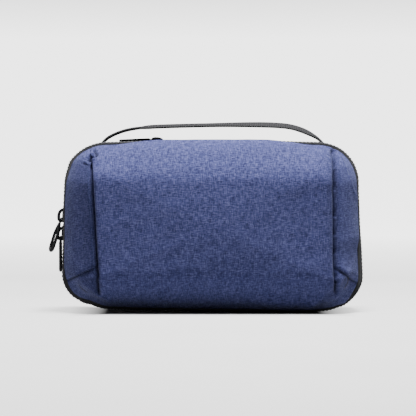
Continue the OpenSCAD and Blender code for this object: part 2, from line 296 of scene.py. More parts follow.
def tube(points, radius, sides=8, closed=False):
    """A round tube along points: vertices and faces. radius may be a list."""
    p = np.asarray(points, float)
    n = len(p)
    radius = np.broadcast_to(np.asarray(radius, float), (n,))
    if closed:
        tangent = np.roll(p, -1, 0) - np.roll(p, 1, 0)
        tangent /= np.linalg.norm(tangent, axis=1)[:, None]
    else:
        tangent = tangents(p)
    u = np.cross(tangent[0], AXES[1] if abs(tangent[0][1]) < 0.9 else AXES[0])
    u /= np.linalg.norm(u)
    ang = np.linspace(0, 2 * np.pi, sides, endpoint=False)
    rings = []
    for k, t in enumerate(tangent):
        u = u - t * np.dot(u, t)
        u /= np.linalg.norm(u)
        w = np.cross(t, u)
        rings.append(p[k] + radius[k] * (np.cos(ang)[:, None] * u + np.sin(ang)[:, None] * w))
    return loft(rings, closed)


class Builder:
    """Collects many small meshes into one piece."""

    def __init__(self):
        self.verts = []
        self.faces = []
        self.weave = []
        self.count = 0

    def add(self, verts, faces, weave=None):
        verts = np.asarray(verts, float)
        faces = facing_out(verts, faces)
        self.verts.append(verts)
        self.faces += [[int(v) + self.count for v in f] for f in faces]
        self.weave.append(np.zeros((len(verts), 3)) if weave is None else np.asarray(weave))
        self.count += len(verts)

    def keep(self, name, material, body, slot, *nodes, hang=True):
        ob = add_mesh(name, np.concatenate(self.verts), self.faces, material,
                      np.concatenate(self.weave), hang=hang)
        return keep(ob, body, slot, *nodes)


def loft(sections, closed_path=False):
    """Rings of equal length joined in order, capped at both ends unless closed."""
    sections = np.asarray(sections)
    n, m = sections.shape[:2]
    faces = grid_faces(n, m, wrap_rows=closed_path, wrap_cols=True).tolist()
    if not closed_path:
        faces.append(list(reversed(range(m))))
        faces.append(list(range((n - 1) * m, n * m)))
    return sections.reshape(-1, 3), faces


def along(outline, s, d, y):
    """3-D points on the outline at lengths s, d inside it, at depth y."""
    p, nrm, _ = outline.at(s)
    q = p - nrm * np.asarray(d, float)[..., None]
    y = np.broadcast_to(np.asarray(y, float), q.shape[:-1])
    return np.stack([q[..., 0], y, q[..., 1]], -1)


def rounded_rect(w, h, r, steps=4):
    """Points of a rounded rectangle about the origin, counter-clockwise."""
    pts = []
    for cx, cy, a0 in ((w / 2 - r, h / 2 - r, 0), (-w / 2 + r, h / 2 - r, 90),
                       (-w / 2 + r, -h / 2 + r, 180), (w / 2 - r, -h / 2 + r, 270)):
        for k in range(steps + 1):
            a = math.radians(a0 + 90 * k / steps)
            pts.append((cx + r * math.cos(a), cy + r * math.sin(a)))
    return np.array(pts)


def wander(x, seed, scale, octaves=2):
    """Soft repeatable noise of one number, about -1 to 1."""
    g = np.random.default_rng(seed)
    x = np.asarray(x, float)
    out = np.zeros_like(x)
    for o in range(octaves):
        for _ in range(3):
            k = g.uniform(0.6, 1.4) * 2 ** o
            out += np.sin(x / scale * 2 * np.pi * k + g.uniform(0, 6.28)) / (3 * 1.6 ** o)
    return out


def wander2(x, z, seed, scale):
    """Soft repeatable noise over a plane, about -1 to 1."""
    g = np.random.default_rng(seed)
    out = np.zeros_like(x)
    for _ in range(7):
        a = g.uniform(0, 2 * np.pi)
        k = g.uniform(0.6, 1.6) * 2 * np.pi / scale
        out += np.sin((x * math.cos(a) + z * math.sin(a)) * k + g.uniform(0, 6.28))
    return out / 4


# ---------------------------------------------------------------------------
# Materials
# ---------------------------------------------------------------------------
class Nodes:
    """A small writer for shader trees."""

    def __init__(self, name):
        self.mat = bpy.data.materials.new(name)
        self.mat.use_nodes = True
        self.tree = self.mat.node_tree
        self.tree.nodes.clear()
        self.out = self.tree.nodes.new("ShaderNodeOutputMaterial")
        self.bsdf = self.tree.nodes.new("ShaderNodeBsdfPrincipled")
        self.tree.links.new(self.bsdf.outputs[0], self.out.inputs[0])

    def link(self, value, socket):
        if isinstance(value, bpy.types.NodeSocket):
            self.tree.links.new(value, socket)
        elif value is not None:
            socket.default_value = value

    def math(self, op, a, b=None):
        n = self.tree.nodes.new("ShaderNodeMath")
        n.operation = op
        self.link(a, n.inputs[0])
        self.link(b, n.inputs[1])
        return n.outputs[0]

    def add(self, a, b):
        return self.math("ADD", a, b)

    def mul(self, a, b):
        return self.math("MULTIPLY", a, b)

    def weave(self):
        n = self.tree.nodes.new("ShaderNodeAttribute")
        n.attribute_name = "weave"
        return n.outputs["Vector"]

    def place(self):
        return self.tree.nodes.new("ShaderNodeTexCoord").outputs["Object"]

    def split(self, vector):
        n = self.tree.nodes.new("ShaderNodeSeparateXYZ")
        self.link(vector, n.inputs[0])
        return n.outputs[0], n.outputs[1], n.outputs[2]

    def join(self, x, y, z=0.0):
        n = self.tree.nodes.new("ShaderNodeCombineXYZ")
        for k, v in enumerate((x, y, z)):
            self.link(v, n.inputs[k])
        return n.outputs[0]

    def noise(self, vector, scale, detail=2.0, rough=0.5):
        n = self.tree.nodes.new("ShaderNodeTexNoise")
        self.link(vector, n.inputs["Vector"])
        n.inputs["Scale"].default_value = scale
        n.inputs["Detail"].default_value = detail
        n.inputs["Roughness"].default_value = rough
        return n.outputs["Fac"]

    def remap(self, value, a, b, to_a=0.0, to_b=1.0):
        n = self.tree.nodes.new("ShaderNodeMapRange")
        self.link(value, n.inputs[0])
        for k, v in enumerate((a, b, to_a, to_b)):
            n.inputs[k + 1].default_value = v
        return n.outputs[0]

    def mix(self, fac, a, b):
        n = self.tree.nodes.new("ShaderNodeMix")
        n.data_type = "RGBA"
        self.link(fac, n.inputs["Factor"])
        for v, k in ((a, 6), (b, 7)):
            self.link(v if isinstance(v, bpy.types.NodeSocket) else (*v, 1.0), n.inputs[k])
        return n.outputs[2]

    def bump(self, height, distance, strength):
        n = self.tree.nodes.new("ShaderNodeBump")
        self.link(height, n.inputs["Height"])
        n.inputs["Distance"].default_value = distance
        n.inputs["Strength"].default_value = strength
        return n.outputs[0]

    def shade(self, color, rough, normal=None, sheen=0.0, specular=0.5, sheen_rough=0.5,
              sheen_tint=None):
        b = self.bsdf.inputs
        self.link(color if isinstance(color, bpy.types.NodeSocket) else (*color, 1.0),
                  b["Base Color"])
        self.link(rough, b["Roughness"])
        if normal is not None:
            self.link(normal, b["Normal"])
        b["Sheen Weight"].default_value = sheen
        b["Sheen Roughness"].default_value = sheen_rough
        if sheen_tint:
            b["Sheen Tint"].default_value = (*sheen_tint, 1.0)
        b["Specular IOR Level"].default_value = specular
        return self.mat


def thread(n, across, lengthwise, pitch, streak):
    """How light one set of threads is: each thread has its own slow light and dark."""
    lane = n.math("FLOOR", n.math("DIVIDE", across, pitch))
    lane_shift = n.math("MULTIPLY", lane, 5.37)
    run = n.math("DIVIDE", lengthwise, streak)
    return n.noise(n.join(run, lane_shift), 1.0, 1.0)


def heather_material(name, dark, mid, light):
    """A plain weave of thick and thin melange threads, seen as short light and dark
    streaks both ways."""
    pitch = 0.55 * MM
    spread = 0.13 / 1.2
    n = Nodes(name)
    u, v, painted_shade = n.split(n.weave())
    weft = thread(n, v, u, pitch, 4.5 * MM)
    warp = thread(n, u, v, pitch, 5.5 * MM)
    cell_u = n.math("FLOOR", n.math("DIVIDE", u, pitch))
    cell_v = n.math("FLOOR", n.math("DIVIDE", v, pitch))
    over = n.math("PINGPONG", n.add(cell_u, cell_v), 1.0)
    both = n.add(n.mul(weft, n.math("SUBTRACT", 1.0, over)), n.mul(warp, over))
    slub = n.noise(n.join(n.mul(u, 270.0), n.mul(v, 1500.0)), 1.0, 1.0)
    slub2 = n.noise(n.join(n.mul(u, 1500.0), n.mul(v, 290.0)), 1.0, 1.0)
    level = n.add(n.mul(both, 0.5), n.add(n.mul(slub, 0.3), n.mul(slub2, 0.2)))
    color = n.mix(n.remap(level, 0.5 - spread, 0.5), dark, mid)
    color = n.mix(n.remap(level, 0.5, 0.5 + spread), color, light)
    broad = n.noise(n.join(u, v), 22.0, 3.0)
    color = n.mix(n.remap(broad, 0.3, 0.7, 0.0, 0.06), color, dark)
    # Painted shade: in the seams, the gathers and under the corner folds the colour goes towards
    # a deep blue, by the weave attribute's third value
    color = n.mix(painted_shade, color, tuple(c * k for c, k in zip(dark, (0.12, 0.22, 0.42))))
    wave_u = n.math("SINE", n.mul(u, 2 * math.pi / pitch))
    wave_v = n.math("SINE", n.mul(v, 2 * math.pi / pitch))
    height = n.add(n.mul(wave_u, wave_v), n.mul(level, 1.5))
    rough = n.remap(both, 0.3, 0.7, 0.92, 0.74)
    return n.shade(color, rough, n.bump(height, 0.12 * MM, 0.55), sheen=0.05,
                   sheen_rough=0.45, sheen_tint=(0.62, 0.68, 0.95), specular=0.1)


def ribbed_material(name, dark, light, pitch, along_u=True, rough=0.8, sheen=0.1,
                    melange=0.0, depth=0.18 * MM, specular=0.2):
    """Woven tape: ribs across its length with fine threads and slight unevenness."""
    n = Nodes(name)
    u, v, _ = n.split(n.weave())
    a, b = (u, v) if along_u else (v, u)
    rib = n.math("SINE", n.mul(a, 2 * math.pi / pitch))
    fine = n.math("SINE", n.mul(b, 2 * math.pi / (pitch * 0.6)))
    speck = n.noise(n.join(n.mul(a, 1.0 / pitch), n.mul(b, 0.5 / pitch)), 1.4, 2.0)
    level = n.add(n.remap(rib, -1, 1, 0.2, 0.8), n.mul(fine, 0.12))
    level = n.add(level, n.mul(n.math("SUBTRACT", speck, 0.5), 0.6 + melange))
    color = n.mix(n.remap(level, 0.0, 1.0), dark, light)
    if melange:
        fleck = n.noise(n.join(n.mul(a, 1600.0), n.mul(b, 900.0)), 1.0, 1.0)
        color = n.mix(n.remap(fleck, 0.55, 0.75, 0.0, melange), color,
                      tuple(min(1.0, c * 1.8) for c in light))
    height = n.add(rib, n.mul(fine, 0.5))
    return n.shade(color, n.remap(speck, 0.3, 0.7, rough - 0.06, min(1.0, rough + 0.08)),
                   n.bump(height, depth, 0.8), sheen=sheen, specular=specular)


def plastic_material(name, base, rough, scale=900.0, specular=0.5):
    """A plain matt plastic, foam or thread, slightly uneven."""
    n = Nodes(name)
    grain = n.noise(n.place(), scale, 3.0)
    broad = n.noise(n.place(), scale / 12, 2.0)
    color = n.mix(n.remap(broad, 0.3, 0.7), tuple(c * 0.8 for c in base),
                  tuple(min(1, c * 1.25) for c in base))
    return n.shade(color, n.remap(grain, 0.3, 0.7, rough - 0.08, rough + 0.1),
                   n.bump(grain, 0.03 * MM, 0.3), specular=specular)


def metal_material(name, base, rough):
    """Black coated zinc: satin, with rubbed lighter patches."""
    n = Nodes(name)
    grain = n.noise(n.place(), 1800.0, 3.0)
    worn = n.remap(n.noise(n.place(), 260.0, 4.0, 0.65), 0.56, 0.74, 0.0, 0.5)
    color = n.mix(worn, base, tuple(min(1, c * 3.0 + 0.01) for c in base))
    rough_v = n.math("SUBTRACT", n.remap(grain, 0.3, 0.7, rough - 0.05, rough + 0.1),
                     n.mul(worn, 0.12))
    return n.shade(color, rough_v, n.bump(grain, 0.02 * MM, 0.35), specular=0.1)


BLUE = heather_material("blue_heather", (0.0062, 0.0076, 0.030), (0.0185, 0.0216, 0.072),
                        (0.051, 0.055, 0.134))
BINDING = ribbed_material("black_binding_tape", (0.005, 0.005, 0.006), (0.016, 0.016, 0.018),
                          0.9 * MM, sheen=0.03)
ZIP_TAPE = ribbed_material("black_zip_tape", (0.005, 0.005, 0.006), (0.014, 0.014, 0.016),
                           0.7 * MM, sheen=0.03)
WEBBING = ribbed_material("grey_webbing", (0.006, 0.006, 0.007), (0.024, 0.024, 0.025),
                          1.5 * MM, rough=0.9, sheen=0.0, melange=0.45, depth=0.3 * MM,
                          specular=0.05)
LINING = ribbed_material("grey_lining_cloth", (0.052, 0.055, 0.064), (0.085, 0.090, 0.102),
                         0.45 * MM, rough=0.62, sheen=0.25, depth=0.06 * MM)
ELASTIC = ribbed_material("black_elastic_band", (0.006, 0.006, 0.007), (0.034, 0.034, 0.038),
                          1.1 * MM, along_u=False, rough=0.72, sheen=0.15)
FOAM = plastic_material("grey_foam", (0.11, 0.11, 0.12), 0.95, 2500.0)
COIL = plastic_material("black_nylon", (0.008, 0.008, 0.009), 0.5, 1500.0, 0.15)
METAL = metal_material("black_coated_metal", (0.004, 0.004, 0.005), 0.55)
THREAD = plastic_material("sewing_thread", (0.012, 0.013, 0.020), 0.7, 2600.0)
BLUE_THREAD = plastic_material("blue_sewing_thread", (0.021, 0.027, 0.074), 0.8, 2600.0, 0.1)
MESH = plastic_material("black_mesh_thread", (0.010, 0.010, 0.012), 0.6, 2400.0)


def keep(piece, body, slot, *nodes):
    """Puts a finished piece on its body and in place of its CAD nodes."""
    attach(piece, body)
    if nodes:
        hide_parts(*nodes)
    return piece


# ---------------------------------------------------------------------------
# The cloth bowls
# ---------------------------------------------------------------------------
SEAMS = {"left": (-90.4 * MM, -100.1 * MM), "right": (100.3 * MM, 99.8 * MM)}
SLANTS = {"left": (39.5 * MM, 21.5 * MM), "right": (37 * MM, 17 * MM)}
SEAM_TOPS = (("left", -1, 127 * MM), ("right", 1, 134 * MM))
# Painted shade at each upright seam: how dark its core is and how wide in mm, and the same of the
# painted shade beside it
PAINTED_SEAM_SHADE = {"left": (0.9, 1.05, 0.66, 13), "right": (0.62, 1.45, 0.42, 5)}


def seam_x(side, z):
    a, b = SEAMS[side]
    x = a + (b - a) * z / BODY_H
    return x - swell(x, z)


def slant_line(side):
    """Ends of the slanted seam: on the upright seam, and out at the binding."""
    z0, z1 = SLANTS[side]
    sign = -1 if side == "left" else 1
    return np.array([seam_x(side, z0), z0]), np.array([sign * (BODY_W / 2 + 5 * MM), z1])


def line_distance(x, z, a, b):
    """Signed distance from the line through a and b, and how far along it, 0 to 1."""
    t = b - a
    length = math.hypot(*t)
    t = t / length
    rel = np.stack([x - a[0], z - a[1]], -1)
    return rel[..., 0] * -t[1] + rel[..., 1] * t[0], (rel @ t) / length


def slant_band(side, sign, x, z, dist):
    """Signed distance from a slanted seam, and 1 beside it as far as it runs. dist is
    the distance from the upright seam."""
    across, f = line_distance(x, z, *slant_line(side))
    return across, smooth(-0.03, 0.04, f) * smooth(-0.5 * MM, 0.8 * MM, dist * sign)


def front_start(p):
    """How far inside the outline the front cloth meets the binding: more round the
    lower corners and along the foot, where more of the binding shows."""
    x, z = p[..., 0], p[..., 1]
    foot = smooth(34 * MM, 6 * MM, z)
    right = smooth(62 * MM, 50 * MM, z) * smooth(60 * MM, 110 * MM, x)
    shoulder = smooth(64 * MM, 80 * MM, np.abs(x)) * smooth(96 * MM, 118 * MM, z)
    left = smooth(42 * MM, 24 * MM, z) * smooth(-74 * MM, -108 * MM, x)
    low = np.maximum(np.maximum(0.9 * foot, 2.4 * right), 2.0 * left)
    return FRONT_START + MM * low + 1.0 * MM * shoulder


def profile(inset, depth, rounding, step):
    """Angles along a bowl's profile, about evenly spaced."""
    a = np.linspace(0, math.pi / 2, 800)
    d = inset * (1 - np.cos(a) ** rounding)
    y = depth * np.sin(a) ** rounding
    s = np.concatenate([[0], np.cumsum(np.hypot(np.diff(d), np.diff(y)))])
    n = max(8, int(s[-1] / step))
    return np.interp(np.linspace(0, s[-1], n), s, a)


class Bowl:
    """A grid of points over one half of the pouch, at depth t under its outer face."""

    def __init__(self, side, inset, depth, rounding, start, count, step, face_rings,
                 rows_at=(), columns_at=(), soften=0):
        self.soften = soften
        self.side, self.inset, self.depth, self.rounding = side, inset, depth, rounding
        self.count = count
        s = np.linspace(0, CLOSED.length, count, endpoint=False)
        for x in columns_at:
            # A column of points stands exactly at x on the top edge
            exact = (CLOSED.s[159] + TOP_C[0] - x)
            s[np.argmin(np.abs(s - exact))] = exact
        self.base, self.normal, self.turn = CLOSED.at(s)
        self.start = start(self.base)
        self.angles = profile(inset, depth, rounding, step)
        for y in rows_at:
            exact = math.asin((y / depth) ** (1 / rounding))
            self.angles[np.argmin(np.abs(self.angles - exact))] = exact
        # The face's rings stand closer together near its edge, where the seams are
        edge_rings = int(face_rings * 0.45)
        self.scales = np.concatenate([np.linspace(1, 0.86, edge_rings + 1)[1:],
                                      np.linspace(0.86, 0, face_rings - edge_rings + 1)[1:-1]])
        self.rows = len(self.angles) + len(self.scales)

    def points(self, t):
        """Grid of points rows x count, plus a last centre point, and the flat pattern
        place of each."""
        t = np.broadcast_to(np.asarray(t, float), (self.rows,))
        rings, flats = [], []
        for k, a in enumerate(self.angles):
            c, s = math.cos(a), math.sin(a)
            least = self.start.min()
            d = (least + (self.start - least + t[k]) * c
                 + self.inset * (1 - max(c, 0) ** self.rounding))
            y = EDGE_Y + self.depth * s ** self.rounding - t[k] * s
            q = self.base - self.normal * d[:, None]
            rings.append(np.stack([q[:, 0], np.full(self.count, self.side * y), q[:, 1]], -1))
            excess = (self.inset + self.depth) * 0.38 * (1 - a / (math.pi / 2)) ** 1.4
            flats.append(q + self.normal * excess)
        last = rings[-1]
        for k, s in enumerate(self.scales):
            tt = t[len(self.angles) + k]
            y = EDGE_Y + self.depth + CROWN * (1 - s * s) ** 2 - tt
            ring = last.copy()
            ring[:, 0] *= s
            ring[:, 2] = MID_Z + (ring[:, 2] - MID_Z) * s
            ring[:, 1] = self.side * y
            rings.append(ring)
            flats.append(ring[:, [0, 2]])
        centre = np.array([[0, self.side * (EDGE_Y + self.depth + CROWN - t[-1]), MID_Z]])
        if self.soften:
            # The cloth can't turn as sharply as the profile does where it meets the face
            way = np.concatenate([self.inset * (1 - np.cos(self.angles) ** self.rounding),
                                  self.inset + 60 * MM * (1 - self.scales)])
            high = np.concatenate([self.depth * np.sin(self.angles) ** self.rounding,
                                   self.depth + CROWN * (1 - self.scales ** 2) ** 2])
            fine = np.arange(-40, way[-1] / MM + 40, 0.25) * MM
            even = np.interp(fine, way, high)
            kernel = np.exp(-0.5 * (np.arange(-30 * MM, 30 * MM, 0.25 * MM) / self.soften) ** 2)
            even = np.convolve(even, kernel / kernel.sum(), "same")
            change = (np.interp(way, fine, even) - high) * smooth(5 * MM, 17 * MM, way)
            for ring, c in zip(rings, change):
                ring[:, 1] += self.side * c
        verts = np.concatenate([np.concatenate(rings), centre])
        flat = np.concatenate([np.concatenate(flats), [[0, MID_Z]]])
        return verts, flat

    def faces(self):
        quads = grid_faces(self.rows, self.count, wrap_cols=True)
        if self.side > 0:
            quads = quads[:, ::-1]
        quads = quads.tolist()
        last = (self.rows - 1) * self.count
        centre = self.rows * self.count
        for j in range(self.count):
            a, b = last + j, last + (j + 1) % self.count
            quads.append([a, b, centre] if self.side < 0 else [b, a, centre])
        return quads

    def normals(self, verts):
        """Outward normals of the grid, from its neighbours."""
        g = verts[:-1].reshape(self.rows, self.count, 3)
        du = np.roll(g, -1, 1) - np.roll(g, 1, 1)
        dv = np.gradient(g, axis=0)
        n = np.cross(dv, du) * self.side
        n /= np.maximum(np.linalg.norm(n, axis=2), 1e-12)[..., None]
        n = n.reshape(-1, 3)
        return np.concatenate([n, [[0, self.side, 0]]])


def front_relief(x, y, z, widen=0.0):
    """How far the front cloth stands out of, or sinks into, its smooth shape. widen
    makes the seams' valleys broader and deeper, for the foam under them."""
    out = np.zeros_like(x)
    # Upright seams: a sharp dip in a soft valley, one side of it standing proud
    for side, sign, top_fade in SEAM_TOPS:
        dist = x - seam_x(side, z)
        fade = smooth(top_fade - 5 * MM, top_fade + 4 * MM, z)
        strength = smooth(12 * MM, 18 * MM, z) * (1 - 0.75 * fade)
        dip, soft = (4.2, 2.6 * MM) if side == "left" else (3.2, 2.3 * MM)
        out -= strength * dip * MM * valley(dist, 1.5 * MM)
        low_side = np.where(dist < 0, 1.0, 0.0)
        out -= strength * soft * low_side * decay(dist, 8.0 * MM)
        out += strength * 0.8 * MM * (1 - low_side) * decay(dist, 4.0 * MM)
        out -= strength * widen * np.exp(-(dist / (4 * MM)) ** 2)
        # Slanted corner seam, on the side panel only
        across, on = slant_band(side, sign, x, z, dist)
        above = np.where(across * sign > 0, 1.0, 0.0)
        out -= on * 1.3 * MM * valley(across, 0.9 * MM)
        out -= on * (1 - above) * 1.2 * MM * decay(across, 5 * MM)
        out += on * above * 0.5 * MM * decay(across, 3 * MM)
        out -= on * widen * np.exp(-(across / (4 * MM)) ** 2)
    # Soft folds between the corner seams and the foot
    for fold, sign in FOLDS:
        across, f = line_distance(x, z, *fold)
        on = smooth(-0.2, 0.05, f) * smooth(1.35, 0.95, f) * smooth(0, 11 * MM, -y - EDGE_Y)
        under = np.sqrt(np.maximum(across * sign, 0) ** 2 + (0.6 * MM) ** 2) - 0.6 * MM
        out += on * 1.6 * MM * np.exp(-np.hypot(across, 1 * MM) / (5 * MM))
        out -= on * 3.4 * MM * (1 - np.exp(-under / (8 * MM)))
    # A fine crease down the upper right facet
    for a, b in zip(CREASE[:-1], CREASE[1:]):
        across, f = line_distance(x, z, a, b)
        on = smooth(-0.1, 0.12, f) * smooth(1.1, 0.85, f)
        out += on * 0.8 * MM * np.exp(-(np.abs(across) / (0.8 * MM)) ** 1.4)
        out -= on * 0.9 * MM * (across > 0) * decay(across, 4 * MM)
    # Gathers at the top of the left seam and, fainter, of the right seam
    for ends, amount in KNOT:
        out += amount * strokes(x, z, ends, 1.3 * MM)
    for cx, cz, amount in ((-103 * MM, 129 * MM, 0.1), (98.5 * MM, 134 * MM, 0.35)):
        near_glow_painted_shadow = np.exp(-(np.hypot((x - cx) / 1.3, z - cz) / (7.5 * MM)) ** 2)
        run = (x - cx) * 0.45 + (z - cz) * 0.9
        fold = np.sin(run / (4.4 * MM) * 2 * math.pi + 0.6)
        out += amount * near_glow_painted_shadow * 1.5 * MM * np.sign(fold) * np.abs(fold) ** 0.7
    # What is packed at the right sags, and fills out the foot there
    out += 3.0 * MM * smooth(15 * MM, 62 * MM, x) * np.exp(-((z - 9 * MM) / (6.5 * MM)) ** 2)
    # The cloth over the foam is never quite even
    out += 0.32 * MM * wander2(x, z + y * 0.7, 5, 62 * MM)
    out += 0.12 * MM * wander2(x, z + y * 0.7, 9, 21 * MM)
    return out


def strokes(x, z, ends, width):
    """1 along a line drawn through the ends, fading over width to its sides."""
    best = np.full_like(x, 1.0)
    for a, b in zip(ends[:-1], ends[1:]):
        t = b - a
        f = np.clip(((x - a[0]) * t[0] + (z - a[1]) * t[1]) / (t @ t), 0, 1)
        best = np.minimum(best, np.hypot(x - a[0] - f * t[0], z - a[1] - f * t[1]))
    return valley(best, width)


def valley(dist, width):
    """1 on a line, with a round bottom, falling away over width."""
    return np.exp(-(np.abs(dist) / width) ** 1.5)


def unfilled(*places):
    """Where points of the filled pouch, in millimetres, lie on the even shape."""
    out = []
    for x, z in places:
        x, z = x * MM, z * MM
        out.append(np.array([x - swell(x, z), z + droop(x, z)]))
    return out


# Lines of the gathers with the height of each, the folds' lines and the crease, placed
# in millimetres on the filled pouch
KNOT = [(unfilled(*ends), amount * MM) for ends, amount in (
    (((-96.3, 131.8), (-94.4, 128.3)), -2.8),
    (((-101.6, 124.9), (-98.7, 126.7), (-95.7, 127.3)), -2.8),
    (((-99.3, 128.9), (-96.7, 130.0)), 1.3),
    (((-98.5, 124.3), (-94.2, 125.4)), 1.3),
    (((-103.4, 123.3), (-100.7, 122.0)), 1.2),
    (((97.7, 133.4), (97.6, 130.5)), -1.9))]
FOLDS = ((unfilled((-109, 29.5), (-85, 9.5)), -1), (unfilled((108.5, 32), (79.5, 7)), 1))
CREASE = unfilled((103.2, 131), (110, 112.3), (117.4, 93.5))
# How each bowl's wall turns into its face: under 1 boxy, over 1 sloped
FRONT_ROUND = 1.48
BACK_ROUND = 0.5
# The lining's two faces, under the front cloth's outer face
LINING_T0 = 4.1 * MM
LINING_T1 = 4.6 * MM


def rim_fade(verts, width=3.0 * MM):
    """0 at the binding, 1 a little way in."""
    return smooth(0.0, width, np.abs(verts[:, 1]) - EDGE_Y)


# A flat pattern turned for its threads; its third value carries the painted shade
def turned(flat, degrees, painted_shade=0.0):
    a = math.radians(degrees)
    c, s = math.cos(a), math.sin(a)
    return np.stack([flat[:, 0] * c - flat[:, 1] * s, flat[:, 0] * s + flat[:, 1] * c,
                     np.broadcast_to(painted_shade, len(flat))], -1)


def painted_seam_shade(x, z):
    """Painted shade, 0 to 1: how far the cloth's colour is darkened in the seams, the gathers and
    under the corner folds.
    """
    shades = []
    for side, sign, top in SEAM_TOPS:
        dist = x - seam_x(side, z)
        on = smooth(12 * MM, 16 * MM, z) * smooth(top + 2 * MM, top - 3 * MM, z)
        core, width, soft, reach = PAINTED_SEAM_SHADE[side]
        shades.append(on * core * valley(dist, width * MM))
        shades.append(on * soft * (dist < 0) * decay(dist, reach * MM))
        across, on = slant_band(side, sign, x, z, dist)
        shades.append(on * 0.9 * valley(across, 0.8 * MM))
        shades.append(on * 0.2 * (across * sign <= 0) * decay(across, 4 * MM))
    shades += [0.92 * strokes(x, z, ends, 1.05 * MM) for ends, amount in KNOT if amount < 0]
    for fold, sign in FOLDS:
        across, f = line_distance(x, z, *fold)
        on = smooth(-0.3, 0.1, f) * smooth(1.3, 0.9, f) * smooth(0.3 * MM, 2 * MM, across * sign)
        shades.append(on * 0.34 * decay(across, 14 * MM))
    return np.clip(np.max(shades, axis=0), 0, 0.92)


def cloth_piece(node, verts, faces, weave, body):
    """A sewn panel of the blue cloth, put on its body in place of its CAD node."""
    ob = add_mesh("cloth_" + node, verts, faces, BLUE, weave)
    ob.data.set_sharp_from_angle(angle=math.radians(62))
    keep(ob, body, "blue_heather_cloth", node)


def padding(word, side, outer, inner, faces, flat):
    """The foam or the lining of one half, between two layers of the same points."""
    half, body = HALVES[side]
    material, slot = (FOAM, "padding_foam") if word == "foam" else (LINING, "grey_lining")
    verts, solid, weave = thicken(outer, inner, faces, turned(flat, 0))
    ob = add_mesh(f"{word}_{half}", verts, solid, material, weave)
    keep(ob, body, slot, f"{half}_{word}")


def make_front():
    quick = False
    shape = (-1, FRONT_INSET, FRONT_DEPTH, FRONT_ROUND, front_start)
    bowl = Bowl(*shape, 420 if quick else 760, (1.6 if quick else 0.9) * MM,
                16 if quick else 36, soften=SOFTEN)
    outer, flat = bowl.points(0.0)
    nrm = bowl.normals(outer)
    x, y, z = outer.T
    relief = front_relief(x, y, z) * rim_fade(outer)
    # Painted shade for the seams, gathers and folds, carried in the weave attribute's third value
    painted_shade = painted_seam_shade(x, z)
    # The middle of the top bulges a little above the binding
    bulge = (smooth(84 * MM, 40 * MM, np.abs(x)) * smooth(112 * MM, 138 * MM, z)
             * rim_fade(outer, 2.2 * MM))
    outer = outer + nrm * relief[:, None]
    outer[:, 2] += 2.7 * MM * bulge
    inner = outer - nrm * CLOTH_T
    inner[:bowl.count, 1] = outer[:bowl.count, 1]

    faces = bowl.faces()
    centre = np.array([outer[f].mean(0) for f in faces])
    cx, cz = centre[:, 0], centre[:, 2]
    region = np.zeros(len(faces), int)
    for side, sign, above, below in (("left", -1, 1, 3), ("right", 1, 2, 4)):
        outside = (cx - seam_x(side, cz)) * sign > 0
        across, _ = line_distance(cx, cz, *slant_line(side))
        region[outside & (across * sign > 0)] = above
        region[outside & (across * sign <= 0)] = below
    # Each panel's threads run its own way
    panels = [("front_centre_panel", 0), ("front_left_panel", -6), ("front_right_panel", 6),
              ("front_left_gusset", 38), ("front_right_gusset", -38)]
    for k, (name, angle) in enumerate(panels):
        chosen = [f for f, r in zip(faces, region) if r == k]
        verts, solid, weave = thicken(outer, inner, chosen, turned(flat, angle, painted_shade))
        cloth_piece(name, verts, solid, weave, "front_cover")

    # A row of stitches on the side panel, close beside each upright seam
    skin = BVHTree.FromPolygons(outer.tolist(), [list(map(int, f)) for f in faces])
    for side, sign in (("left", -1), ("right", 1)):
        sew = Builder()
        line, normal = [], []
        for z in np.arange(14 * MM, 130 * MM, 0.8 * MM):
            x = seam_x(side, z) + sign * 2.4 * MM
            spot, n, _, _ = skin.ray_cast(Vector((x, -0.2, z)), Vector((0, 1, 0)))
            line.append(spot)
            normal.append(n if n.y < 0 else -n)
        stitches(sew, np.array(line), pitch=2.8 * MM, length=1.9 * MM, radius=0.22 * MM,
                 lift=0.1 * MM, normal=np.array(normal))
        sew.keep(f"seam_stitches_{side}", BLUE_THREAD, "front_cover", "blue_heather_cloth")

    # Foam and lining, on a coarser grid of the same shape
    soft = Bowl(*shape, 300, 2.4 * MM, 12, soften=SOFTEN)
    base, soft_flat = soft.points(0.0)
    soft_nrm = soft.normals(base)
    relief = front_relief(*base.T, 2.4 * MM) * rim_fade(base)
    top = base + soft_nrm * (relief - 1.35 * MM)[:, None]
    # Under a seam the foam is pressed thin, and the lining gives way below it
    give = np.minimum(relief - 2.0 * MM + LINING_T0, 0.0)[:, None] * soft_nrm
    low = soft.points(LINING_T0)[0] + give
    deep = soft.points(LINING_T1)[0] + give
    for layer in (top, low, deep):
        layer[:soft.count, 1] = -EDGE_Y
    padding("foam", -1, top, low, soft.faces(), soft_flat)
    padding("lining", -1, low, deep, soft.faces(), soft_flat)


